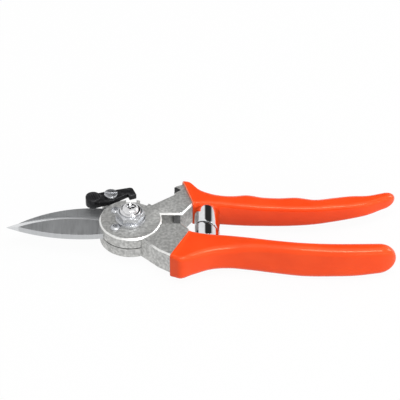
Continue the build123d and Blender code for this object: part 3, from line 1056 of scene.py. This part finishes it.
@dataclass(frozen=True)
class Arc:
    """Plan circle through three points, in millimetres.

    Attributes:
        a: First point.
        b: Second point.
        c: Third point.
    """

    a: tuple[float, float]
    b: tuple[float, float]
    c: tuple[float, float]

    def circle(self) -> tuple[tuple[float, float], float]:
        """Centre and radius of the circle.

        Returns:
            The centre and the radius.
        """
        (ax, ay), (bx, by), (cx, cy) = self.a, self.b, self.c
        d = 2 * (ax * (by - cy) + bx * (cy - ay) + cx * (ay - by))
        aa, bb, cc = ax * ax + ay * ay, bx * bx + by * by, cx * cx + cy * cy
        x = (aa * (by - cy) + bb * (cy - ay) + cc * (ay - by)) / d
        y = (aa * (cx - bx) + bb * (ax - cx) + cc * (bx - ax)) / d
        return (x, y), math.hypot(ax - x, ay - y)

    def y(self, at: float, grown: float = 0.0) -> float:
        """Height in plan of the arc, or of one that runs alongside it.

        Args:
            at: Place along x.
            grown: How far the circle is grown.

        Returns:
            The y there, on the side of the circle that the second point is on.
        """
        (x, y), radius = self.circle()
        side = 1.0 if self.b[1] > y else -1.0
        return y + side * math.sqrt(max((radius + grown) ** 2 - (at - x) ** 2, 0.0))

    def reach(self, at: float, y: float) -> float:
        """Distance of a point beyond the circle, negative inside it.

        Args:
            at: The point's x.
            y: The point's y.

        Returns:
            The distance.
        """
        (centre_x, centre_y), radius = self.circle()
        return math.hypot(at - centre_x, y - centre_y) - radius


def on_ring(radius: float, angle: float) -> tuple[float, float]:
    """Plan point at a radius and an angle in degrees about the pivot."""
    return radius * math.cos(math.radians(angle)), radius * math.sin(math.radians(angle))


@dataclass
class Blades:
    """Cutting blade and hook, with their screws and rivets. Sizes are in millimetres, angles in degrees.

    Attributes:
        tail: Radius of the round tails in the hubs.
        thick: Thickness of each blade.
        blade_reach: Reach of the cutting blade's tip.
        blade_tip: The tip's y.
        belly: Greatest y of its edge.
        spine: Depth of its back.
        blade_root: Angle where the blade leaves its tail.
        blade_bevel: Width of its ground bevel.
        hook_reach: Reach of the hook's tip.
        hook_tip: That tip's y.
        hollow: The y of the middle of the hook's edge.
        back: Greatest y of its back.
        hook_root: Angle where the hook's edge leaves its tail.
        back_root: Angle where its back does.
        hook_bevel: Relief of its edge.
        fixing_radius: Distance of the fixings from the pivot axis.
        fixing_angles: Their angles.
    """

    tail: float = 15.0
    thick: float = 3.2
    blade_reach: float = 66.0
    blade_tip: float = 0.6
    belly: float = 9.5
    spine: float = 7.8
    blade_root: float = 148.0
    blade_bevel: float = 6.0
    hook_reach: float = 62.5
    hook_tip: float = 1.6
    hollow: float = 5.8
    back: float = 15.2
    hook_root: float = 172.0
    back_root: float = 106.0
    hook_bevel: float = 1.6
    fixing_radius: float = 10.6
    fixing_angles: tuple[float, float] = (140.0, 222.0)

    def build(self) -> None:
        """Builds the blades and their fixings."""
        self.cutting_blade()
        self.hook()
        screw = lathe(
            "screw_head",
            [(0, 1.4), (1.0, 1.38), (1.9, 1.2), (2.4, 0.85), (2.6, 0.45), (2.6, 0.0), (1.6, 0.0)]
            + [(1.6, -6.4), (0, -6.4)],
            48,
        )
        slot = piece_from("slot", *box_shape((-3.0, -0.45, 0.7), (3.0, 0.45, 2.0)))
        smooth(cut(screw, slot), 40)
        rivet = lathe(
            "rivet_head",
            [(0, -0.32), (0.8, -0.3), (1.3, -0.2), (1.55, -0.02), (1.6, 0.2), (1.6, 6.4), (0, 6.4)],
            40,
        )
        smooth(rivet, 50)
        screws = self.scatter("blade_screws", screw, TOPSIDE)
        stand_for(screws, Body.BLADE, ZINC, "blade_screw_1", "blade_screw_2")
        rivets = self.scatter("hook_rivets", rivet, UNDERSIDE)
        stand_for(rivets, Body.HOOK, ZINC, "counter_blade_rivet_1", "counter_blade_rivet_2")

    def cutting_blade(self) -> bpy.types.Object:
        """Builds the bellied blade with its ground bevel.

        Returns:
            The blade.
        """
        up, low = on_ring(self.tail, self.blade_root), on_ring(self.tail, -self.blade_root)
        tip, middle = (-self.blade_reach, self.blade_tip), (up[0] - self.blade_reach) / 2
        edge, back = Arc(up, (middle, self.belly), tip), Arc(tip, (middle, -self.spine), low)
        base, top = MIDDLE_HEIGHT, MIDDLE_HEIGHT + self.thick

        def section(x: float) -> list[Point]:
            """Section of the blade.

            Args:
                x: Place along the blade.

            Returns:
                Its corners: back below, back above, start of the bevel, edge.
            """
            spine_y = back.y(x)
            rise = -edge.reach(x, spine_y) / self.blade_bevel
            bevel_y = max(edge.y(x, -self.blade_bevel), spine_y)
            height = min(top, base + self.thick * max(rise, 0.0))
            return [(x, spine_y, base), (x, spine_y, height), (x, bevel_y, height), (x, edge.y(x), base)]

        colours = (0.50, 0.51, 0.52), (0.60, 0.61, 0.62)
        finish = GroundSteel(
            "ground_blade", "blade_steel", *colours, (0.34, 0.44), *edge.circle(), self.blade_bevel
        )
        piece = self.tailed("cutting_blade_finished", section, tip[0], base, 5.5)
        return stand_for(piece, Body.BLADE, finish, "cutting_blade")

    def hook(self) -> bpy.types.Object:
        """Builds the hook with its hollow edge.

        Returns:
            The hook.
        """
        root, back_root = on_ring(self.tail, self.hook_root), on_ring(self.tail, self.back_root)
        tip = (-self.hook_reach, self.hook_tip)
        edge = Arc(root, ((root[0] - self.hook_reach) / 2, self.hollow), tip)
        back = Arc(tip, ((back_root[0] - self.hook_reach) / 2, self.back), back_root)
        base, top = MIDDLE_HEIGHT - self.thick, MIDDLE_HEIGHT

        def section(x: float) -> list[Point]:
            """Section of the hook.

            Args:
                x: Place along the hook.

            Returns:
                Its corners: edge above, start of the relief below, back below, back above.
            """
            back_y = back.y(x)
            drop = edge.reach(x, back_y) / self.hook_bevel
            relief_y = min(edge.y(x, self.hook_bevel), back_y)
            height = max(base, top - self.thick * max(drop, 0.0))
            return [(x, edge.y(x), top), (x, relief_y, height), (x, back_y, height), (x, back_y, top)]

        colours = (0.42, 0.43, 0.44), (0.52, 0.53, 0.54)
        finish = GroundSteel(
            "ground_hook", "hook_steel", *colours, (0.38, 0.48), *edge.circle(), self.hook_bevel, False
        )
        piece = self.tailed("counter_blade_finished", section, tip[0], base, 4.05)
        return stand_for(piece, Body.HOOK, finish, "counter_blade")

    def tailed(
        self, name: str, section: Callable[[float], list[Point]], tip: float, base: float, bore: float
    ) -> bpy.types.Object:
        """Lofts a blade from its tip into the hub and joins it to its round, bored tail.

        Args:
            name: Name of the piece.
            section: Gives the four corners of the section at a place along x, in millimetres.
            tip: Place of the tip.
            base: Height of the blade's underside.
            bore: Radius of the tail's hole.

        Returns:
            The blade.
        """
        root, count, crowding = -7.5, 140, 1.6
        places = [tip + (root - tip) * (step / count) ** crowding for step in range(1, count + 1)]
        rows = [section(place) for place in places]
        points = [tuple(np.mean(section(tip), axis=0) * MM)]
        points += [tuple(np.array(point) * MM) for row in rows for point in row]
        faces: list[Sequence[int]] = [(0, 1 + step, 1 + (step + 1) % 4) for step in range(4)]
        for row in range(len(rows) - 1):
            low = 1 + 4 * row
            for step in range(4):
                after = (step + 1) % 4
                faces.append((low + step, low + 4 + step, low + 4 + after, low + after))
        faces.append(tuple(range(len(points) - 4, len(points))))
        piece = piece_from(name, points, faces)
        with editing(piece.data) as work:
            bmesh.ops.remove_doubles(work, verts=work.verts, dist=WELD * MM)
            bmesh.ops.dissolve_degenerate(work, dist=WELD / 2 * MM, edges=work.edges)
            bmesh.ops.recalc_face_normals(work, faces=work.faces)
        top = base + self.thick
        tail = lathe("tail", [(0, top), (self.tail, top), (self.tail, base), (0, base)], 120)
        cut(piece, tail, "UNION")
        cut(piece, lathe("bore", [(0, top + 1), (bore, top + 1), (bore, base - 1), (0, base - 1)], 64))
        return smooth(piece, 12)

    def scatter(self, name: str, pattern: bpy.types.Object, height: float) -> bpy.types.Object:
        """Sets copies of a fixing at their places with geometry nodes, and removes the pattern.

        Args:
            name: Name of the piece.
            pattern: The fixing, drawn on the axis.
            height: Height that it stands at, in millimetres.

        Returns:
            The fixings, as one plain mesh.
        """
        plan = [on_ring(self.fixing_radius, angle) for angle in self.fixing_angles]
        piece = piece_from(name, [(x * MM, y * MM, height * MM) for x, y in plan], [])
        sheet = shaping_sheet(f"{name}_places", Pattern="Object")
        source = sheet.add("NodeGroupInput")
        shape = sheet.add("GeometryNodeObjectInfo", transform_space="ORIGINAL")
        sheet.feed(shape.inputs["Object"], source.outputs["Pattern"])
        copies = sheet.add("GeometryNodeInstanceOnPoints")
        sheet.feed(copies.inputs["Points"], source.outputs["Geometry"])
        sheet.feed(copies.inputs["Instance"], shape.outputs["Geometry"])
        sheet.close(copies.outputs["Instances"], source)
        run_tree(piece, sheet.tree, {"Pattern": pattern, "Finish": ZINC.material()})
        settle(piece)
        bpy.data.objects.remove(pattern)
        return piece


def box_shape(low: Point, high: Point) -> tuple[list[Point], list[Sequence[int]]]:
    """Points and faces of a box, for cutting.

    Args:
        low: Lowest corner, in millimetres.
        high: Highest corner.

    Returns:
        Points in metres, and faces.
    """
    return taper_shape((low[0], high[0]), (low[1], high[1]), (low[0], high[0]), (low[1], high[1]), low[2], high[2])


def taper_shape(
    low_x: tuple[float, float],
    low_y: tuple[float, float],
    high_x: tuple[float, float],
    high_y: tuple[float, float],
    low_z: float,
    high_z: float,
) -> tuple[list[Point], list[Sequence[int]]]:
    """Points and faces of a block that tapers upright.

    Args:
        low_x: Range in x at its lower end, in millimetres.
        low_y: Range in y there.
        high_x: Range in x at its upper end.
        high_y: Range in y there.
        low_z: Height of its lower end.
        high_z: Height of its upper end.

    Returns:
        Points in metres, and faces.
    """
    points: list[Point] = []
    for (x0, x1), (y0, y1), z in ((low_x, low_y, low_z), (high_x, high_y, high_z)):
        points.extend((x * MM, y * MM, z * MM) for x, y in ((x0, y0), (x1, y0), (x1, y1), (x0, y1)))
    faces = [(3, 2, 1, 0), (4, 5, 6, 7), (0, 1, 5, 4), (1, 2, 6, 5), (2, 3, 7, 6), (3, 0, 4, 7)]
    return points, faces


@dataclass
class PivotStack:
    """Bolt, bush, washer, nut, lock washer and lock screw on the pivot axis.

    Attributes:
        seat: Height that the lock screw's head sits at, in millimetres.
        head_radius: Radius of that head.
        head_height: Its height.
        recess_span: Span of its cross recess.
        recess_slot: Width of a slot of the recess.
        recess_depth: Depth of the recess.
    """

    seat: float = 23.1
    head_radius: float = 4.3
    head_height: float = 2.4
    recess_span: float = 4.7
    recess_slot: float = 0.95
    recess_depth: float = 1.7

    def build(self) -> None:
        """Builds the stack."""
        eased_solid("pivot_bolt", Body.HOOK, ZINC, 0.3)
        eased_solid("pivot_washer", Body.HOOK, ZINC, 0.2)
        eased_solid("pivot_nut", Body.HOOK, ZINC, 0.12, 20)
        eased_solid("lock_washer", Body.HOOK, NICKEL, 0.25)
        eased_solid("pivot_bush", Body.BLADE, BRONZE, 0.1)
        self.lock_screw()

    def lock_screw(self) -> bpy.types.Object:
        """Turns the lock screw and sinks its cross recess.

        Returns:
            The lock screw.
        """
        r, h = self.head_radius, self.head_height
        profile = [(0.0, h), (0.25 * r, 0.985 * h), (0.5 * r, 0.93 * h), (0.7 * r, 0.83 * h), (0.84 * r, 0.69 * h)]
        profile += [(0.94 * r, 0.5 * h), (0.99 * r, 0.3 * h), (r, 0.15 * h), (0.98 * r, 0.0), (2.0, 0.0)]
        profile += [(2.0, -7.6), (1.6, -8.0), (0.0, -8.0)]
        screw = lathe("lock_screw_finished", profile, 80)
        half, slot, deep = self.recess_span / 2, self.recess_slot / 2, self.recess_depth
        for long_x in (True, False):
            top = ((-half * 1.15, half * 1.15), (-slot * 1.12, slot * 1.12))
            foot = ((-half * 0.42, half * 0.42), (-slot * 0.7, slot * 0.7))
            if not long_x:
                top, foot = top[::-1], foot[::-1]
            cut(screw, piece_from("cross", *taper_shape(*foot, *top, h - deep, h + 0.35)))

        def on_head(middle: Vector, angle: float) -> bool:
            """Whether an edge is on the head's top, away from the recess's middle."""
            return angle > 35 and middle.z > 0.5 * h and math.hypot(middle.x, middle.y) > 0.6

        ease(screw, 0.06, 2, on_head)
        moved(screw, Matrix.Translation((0.0, 0.0, self.seat * MM)))
        return stand_for(smooth(screw, 40), Body.SCREW, NICKEL, "lock_screw")


@dataclass
class ReturnSpring:
    """Strip spring between the handles and the flanged studs that hold its ends.

    Attributes:
        x: Distance of its axis from the pivot, in millimetres.
        radius: Outer radius.
        strip: Thickness of the strip.
        pitch: Rise of the slit in one turn.
        slit: Width of the slit along the axis.
        slit_at: Where the slit crosses the top, along y.
        steps: Points along the strip.
    """

    x: float = 40.3
    radius: float = 5.9
    strip: float = 0.8
    pitch: float = 16.6
    slit: float = 0.88
    slit_at: float = -2.6
    steps: int = 300

    def build(self) -> None:
        """Builds the spring and its studs."""
        eased_solid("hook_spring_stud", Body.HOOK, ZINC, 0.3)
        eased_solid("blade_spring_stud", Body.BLADE, ZINC, 0.3)
        low, high = (corner.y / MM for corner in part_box("volute_spring"))
        piece = piece_from("return_spring_strip", [(0.0, 0.0, 0.0)], [])
        margin = 0.35
        sizes = {"Radius": self.radius, "Pitch": self.pitch, "Slit": self.slit, "Slit At": self.slit_at}
        sizes.update({"Low": low, "High": high, "Axis X": self.x, "Axis Z": MIDDLE_HEIGHT})
        values: dict[str, object] = {name: value * MM for name, value in sizes.items()}
        values["Turn From"] = (self.slit_at + self.slit / 2 - high + margin) * 2 * math.pi / self.pitch
        values["Turn To"] = (self.slit_at + self.pitch - self.slit / 2 - low - margin) * 2 * math.pi / self.pitch
        values["Finish"] = CHROME.material()
        run_tree(piece, self.strip_tree(), values)
        wall = piece.modifiers.new("wall", "SOLIDIFY")
        wall.thickness = self.strip * MM
        wall.offset = -1.0
        edge = piece.modifiers.new("edge", "BEVEL")
        edge.width = 0.14 * MM
        edge.segments = 2
        edge.limit_method = "ANGLE"
        edge.angle_limit = math.radians(50)
        settle(piece)
        smooth(piece, 60)
        CHROME.dress(piece)
        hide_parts("volute_spring")
        start, end = ((self.x * MM, y * MM, MIDDLE_HEIGHT * MM) for y in (low, high))
        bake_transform(piece)
        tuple(start)
        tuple(end)
        LOG.info("%s: %d faces between the halves", piece.name, len(piece.data.polygons))

    def strip_tree(self) -> bpy.types.NodeTree:
        """Geometry nodes that wind a strip of even width and trim its ends square to the axis.

        Returns:
            The tree.
        """
        names = ("Radius", "Pitch", "Slit", "Slit At", "Low", "High", "Axis X", "Axis Z", "Turn From", "Turn To")
        sheet = shaping_sheet("wound_strip", **dict.fromkeys(names, "Float"))
        source = sheet.add("NodeGroupInput")
        given = source.outputs
        grid = sheet.add("GeometryNodeMeshGrid")
        for name, value in (("Size X", 1.0), ("Size Y", 1.0), ("Vertices X", self.steps), ("Vertices Y", 9)):
            grid.inputs[name].default_value = value
        parts = sheet.add("ShaderNodeSeparateXYZ")
        sheet.feed(parts.inputs[0], sheet.add("GeometryNodeInputPosition").outputs[0])
        along = sheet.math("ADD", parts.outputs[0], 0.5)
        across = sheet.math("ADD", parts.outputs[1], 0.5)
        whole = sheet.math("SUBTRACT", given["Turn To"], given["Turn From"])
        turn = sheet.math("MULTIPLY_ADD", along, whole, given["Turn From"])
        rise = sheet.math("DIVIDE", sheet.math("MULTIPLY", turn, given["Pitch"]), 2 * math.pi)
        centre = sheet.math("SUBTRACT", given["Slit At"], rise)
        edge = sheet.math("MULTIPLY_ADD", given["Slit"], 0.5, centre)
        other = sheet.math("SUBTRACT", sheet.math("ADD", edge, given["Pitch"]), given["Slit"])
        near = sheet.math("MINIMUM", sheet.math("MAXIMUM", edge, given["Low"]), given["High"])
        far = sheet.math("MINIMUM", sheet.math("MAXIMUM", other, given["Low"]), given["High"])
        y = sheet.math("MULTIPLY_ADD", across, sheet.math("SUBTRACT", far, near), near)
        x = sheet.math("MULTIPLY_ADD", sheet.math("SINE", turn), given["Radius"], given["Axis X"])
        z = sheet.math("MULTIPLY_ADD", sheet.math("COSINE", turn), given["Radius"], given["Axis Z"])
        point = sheet.add("ShaderNodeCombineXYZ")
        for socket, value in zip(point.inputs, (x, y, z)):
            sheet.feed(socket, value)
        wound = sheet.add("GeometryNodeSetPosition")
        sheet.feed(wound.inputs["Geometry"], grid.outputs["Mesh"])
        sheet.feed(wound.inputs["Position"], point.outputs[0])
        turned = sheet.add("GeometryNodeFlipFaces")
        sheet.feed(turned.inputs[0], wound.outputs[0])
        sheet.close(turned.outputs[0], source)
        return sheet.tree


@dataclass
class ThumbCatch:
    """Swinging lever that locks the halves, with a ribbed pad, its screw and washer.

    Attributes:
        pin: Plan place of its screw, in millimetres.
        pad_reach: Distance of the pad from the screw.
        pad_radius: Radius of the pad.
        pad_top: Height of the pad's top.
        swing: Angle that it stands at, in degrees.
        ribs: Number of ribs on the pad.
        rib_pitch: Distance between ribs.
        rib_radius: Radius of a rib.
    """

    pin: tuple[float, float] = (-11.0, 18.8)
    pad_reach: float = 10.0
    pad_radius: float = 4.0
    pad_top: float = 19.5
    swing: float = 22.0
    ribs: int = 5
    rib_pitch: float = 1.15
    rib_radius: float = 0.4

    def build(self) -> None:
        """Builds the lever, its ribs, screw and washer."""
        eased_solid("thumb_catch", Body.CATCH, OXIDE, 0.35)
        stand_for(self.ribbing(), Body.CATCH, OXIDE)
        eased_solid("catch_screw", Body.HOOK, ZINC, 0.2)
        eased_solid("catch_washer", Body.HOOK, ZINC, 0.08)

    def ribbing(self) -> bpy.types.Object:
        """Sets round ribs across the pad with geometry nodes.

        Returns:
            The ribs, as one plain mesh.
        """
        turn = math.radians(self.swing)
        centre = Vector(self.pin) - self.pad_reach * Vector((math.cos(turn), math.sin(turn)))
        first = -(self.ribs - 1) / 2 * self.rib_pitch
        places, lengths = [], []
        for number in range(self.ribs):
            offset = first + number * self.rib_pitch
            x, y = centre.x + offset * math.cos(turn), centre.y + offset * math.sin(turn)
            places.append((x * MM, y * MM, (self.pad_top - 0.1) * MM))
            lengths.append(2 * (math.sqrt(self.pad_radius**2 - offset**2) - 0.6))
        piece = piece_from("thumb_catch_ribs", places, [])
        size = piece.data.attributes.new("rib_length", "FLOAT", "POINT")
        size.data.foreach_set("value", [length * MM for length in lengths])
        sheet = shaping_sheet("pad_ribs", Radius="Float", Turn="Float")
        source = sheet.add("NodeGroupInput")
        ball = sheet.add("GeometryNodeMeshUVSphere")
        for name, value in (("Segments", 20), ("Rings", 12), ("Radius", 1.0)):
            ball.inputs[name].default_value = value
        length = sheet.add("GeometryNodeInputNamedAttribute", data_type="FLOAT")
        length.inputs["Name"].default_value = "rib_length"
        scale = sheet.add("ShaderNodeCombineXYZ")
        sheet.feed(scale.inputs[0], source.outputs["Radius"])
        sheet.feed(scale.inputs[1], sheet.math("MULTIPLY", length.outputs[0], 0.5))
        sheet.feed(scale.inputs[2], source.outputs["Radius"])
        angle = sheet.add("ShaderNodeCombineXYZ")
        sheet.feed(angle.inputs[2], source.outputs["Turn"])
        copies = sheet.add("GeometryNodeInstanceOnPoints")
        sheet.feed(copies.inputs["Points"], source.outputs["Geometry"])
        sheet.feed(copies.inputs["Instance"], ball.outputs["Mesh"])
        sheet.feed(copies.inputs["Rotation"], angle.outputs[0])
        sheet.feed(copies.inputs["Scale"], scale.outputs[0])
        sheet.close(copies.outputs["Instances"], source)
        values = {"Radius": self.rib_radius * MM, "Turn": turn, "Finish": OXIDE.material()}
        run_tree(piece, sheet.tree, values)
        return smooth(settle(piece), 60)


@dataclass
class Studio:
    """Pale floor, soft light and the photograph's camera.

    Attributes:
        aim: Point in the middle of the picture, in millimetres.
        elevation: Height angle of the camera, in degrees.
        distance: Distance of the camera, in millimetres.
        focal: Focal length, in pixels of the photograph's width.
        sky: Strength of the soft light all round.
        shine: Strength of it in reflections.
        key: Power of the lamp overhead, which reflections don't show, in watts.
        strip: Power of the narrow lamp at the same place, in watts.
        front: Power of the low lamp in front, which reflections don't show, in watts.
        rim: Power of the lamp behind on the right, in watts.
        glint: Power of the narrow lamp on the right that only reflections show, in watts.
    """

    aim: Point = (36.5, 23.3, 10.0)
    elevation: float = 40.0
    distance: float = 1203.0
    focal: float = 2245.0
    sky: float = 0.86
    shine: float = 1.1
    key: float = 4.6
    strip: float = 2.2
    front: float = 8.2
    rim: float = 3.2
    glint: float = 7.6

    def build(self) -> None:
        """Builds the camera, the floor and the light."""
        self.camera()
        self.floor()
        self.world()
        self.lamp("key_lamp", (0.12, -0.12, 1.25), (1.2, 0.7), self.key).visible_glossy = False
        self.lamp("strip_lamp", (0.12, -0.12, 1.25), (1.2, 0.1), self.strip)
        self.lamp("front_lamp", (0.85, -1.0, 0.34), (1.3, 0.4), self.front).visible_glossy = False
        self.lamp("rim_lamp", (1.15, 0.4, 0.5), (0.4, 0.4), self.rim)
        self.lamp("glint_lamp", (0.41, -0.6, 1.05), (0.86, 0.2), self.glint, 0.37).visible_diffuse = False
        bpy.context.scene.view_settings.view_transform = "Standard"

    def camera(self) -> None:
        """Sets the camera at the photograph's angle."""
        data = bpy.data.cameras.new("photo_camera")
        data.sensor_width = 36.0
        data.lens = data.sensor_width * self.focal / PHOTO_WIDTH
        data.clip_start, data.clip_end = 0.05, 50.0
        camera = linked("photo_camera", data)
        tilt = math.radians(self.elevation)
        back = Vector((0.0, -math.cos(tilt), math.sin(tilt)))
        camera.location = Vector(self.aim) * MM + back * self.distance * MM
        camera.rotation_euler = (-back).to_track_quat("-Z", "Y").to_euler()
        bpy.context.scene.camera = camera

    def floor(self) -> None:
        """Lays a wide pale floor that shows white to the camera and keeps the soft shadow."""
        half = 4.0
        low = -0.0002
        corners = [(-half, -half, low), (half, -half, low), (half, half, low), (-half, half, low)]
        floor = piece_from("studio_floor", corners, [(0, 1, 2, 3)])
        material = bpy.data.materials.new("pale_floor")
        material.use_nodes = True
        tree = material.node_tree
        tree.nodes.clear()
        sheet = NodeSheet(tree)
        path = sheet.add("ShaderNodeLightPath")
        seen = sheet.math("MAXIMUM", path.outputs["Is Camera Ray"], path.outputs["Is Transmission Ray"])
        seen = sheet.math("MAXIMUM", seen, path.outputs["Is Glossy Ray"])
        plain = sheet.add("ShaderNodeBsdfDiffuse")
        plain.inputs["Color"].default_value = (0.38, 0.38, 0.38, 1.0)
        white = sheet.add("ShaderNodeEmission")
        white.inputs["Strength"].default_value = 1.06
        mixed = sheet.add("ShaderNodeMixShader")
        sheet.feed(mixed.inputs[0], sheet.math("MULTIPLY", seen, 0.9))
        sheet.feed(mixed.inputs[1], plain.outputs[0])
        sheet.feed(mixed.inputs[2], white.outputs[0])
        clear = sheet.add("ShaderNodeBsdfTransparent")
        side = sheet.add("ShaderNodeNewGeometry")
        both = sheet.add("ShaderNodeMixShader")
        sheet.feed(both.inputs[0], side.outputs["Backfacing"])
        sheet.feed(both.inputs[1], mixed.outputs[0])
        sheet.feed(both.inputs[2], clear.outputs[0])
        output = sheet.add("ShaderNodeOutputMaterial")
        sheet.feed(output.inputs["Surface"], both.outputs[0])
        floor.data.materials.append(material)

    def world(self) -> None:
        """Soft white light all round, with a darker gap behind for bright metal to show."""
        world = bpy.data.worlds.new("studio_light")
        bpy.context.scene.world = world
        world.use_nodes = True
        tree = world.node_tree
        tree.nodes.clear()
        sheet = NodeSheet(tree)
        parts = sheet.add("ShaderNodeSeparateXYZ")
        sheet.feed(parts.inputs[0], sheet.add("ShaderNodeTexCoord").outputs["Generated"])
        side = sheet.math("ARCTAN2", parts.outputs[0], parts.outputs[1])
        left = sheet.spread(side, 0.0, 1.0, math.radians(-22), math.radians(-12))
        right = sheet.spread(side, 1.0, 0.0, math.radians(24), math.radians(36))
        foot = sheet.spread(parts.outputs[2], 0.0, 1.0, math.sin(math.radians(12)), math.sin(math.radians(22)))
        head = sheet.spread(parts.outputs[2], 1.0, 0.0, math.sin(math.radians(54)), math.sin(math.radians(68)))
        gap = sheet.math("MULTIPLY", sheet.math("MULTIPLY", left, right), sheet.math("MULTIPLY", foot, head))
        path = sheet.add("ShaderNodeLightPath")
        camera, glossy = path.outputs["Is Camera Ray"], path.outputs["Is Glossy Ray"]
        shown = sheet.math("MULTIPLY_ADD", gap, -0.97 * self.shine, self.shine)
        slant = sheet.spread(parts.outputs[0], 0.38, 1.25, -0.9, 0.7)
        front = sheet.spread(parts.outputs[1], 1.15, 0.85, -0.8, 0.8)
        soft = sheet.math("MULTIPLY", sheet.math("MULTIPLY", slant, front), self.sky)
        level = sheet.math("MULTIPLY_ADD", glossy, sheet.math("SUBTRACT", shown, soft), soft)
        strength = sheet.math("ADD", sheet.math("MULTIPLY", level, sheet.math("SUBTRACT", 1.0, camera)), camera)
        light = sheet.add("ShaderNodeBackground")
        sheet.feed(light.inputs["Strength"], strength)
        output = sheet.add("ShaderNodeOutputWorld")
        sheet.feed(output.inputs["Surface"], light.outputs[0])

    def lamp(
        self, name: str, place: Point, size: tuple[float, float], power: float, beside: float = 0.0
    ) -> bpy.types.Object:
        """Hangs a soft lamp that points at the shears.

        Args:
            name: Name of the lamp.
            place: Its place, in metres.
            size: Its width and height, in metres.
            power: Its power, in watts.
            beside: How far to the right of the shears it points, in metres.

        Returns:
            The lamp.
        """
        data = bpy.data.lights.new(name, "AREA")
        data.shape = "RECTANGLE"
        data.size, data.size_y = size
        data.energy = power
        lamp = linked(name, data)
        lamp.location = place
        aim = Vector(self.aim) * MM + Vector((beside, 0.0, 0.0)) - Vector(place)
        lamp.rotation_euler = aim.to_track_quat("-Z", "Y").to_euler()
        return lamp


def main() -> None:
    """Builds the scene."""
    logging.basicConfig(level=logging.INFO, format="%(name)s: %(message)s")
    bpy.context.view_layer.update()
    Studio().build()
    Grip("hook_handle_grip", "hook_spring_stud", Body.HOOK, 26.4, 138.4, 20.0, PALM_SECTIONS, 1).build()
    Grip("blade_handle_grip", "blade_spring_stud", Body.BLADE, 30.45, 140.8, 8.4, FINGER_SECTIONS, -1).build()
    Casting("hook_handle_core", Body.HOOK).build()
    Casting("blade_handle_core", Body.BLADE, pocket=((21.0, 20.0, 12.5), (27.5, 28.0, 16.3))).build()
    Blades().build()
    PivotStack().build()
    ReturnSpring().build()
    ThumbCatch().build()
    eased_solid("closing_bumper", Body.HOOK, RUBBER, 0.3)


if __name__ == "__main__":
    main()
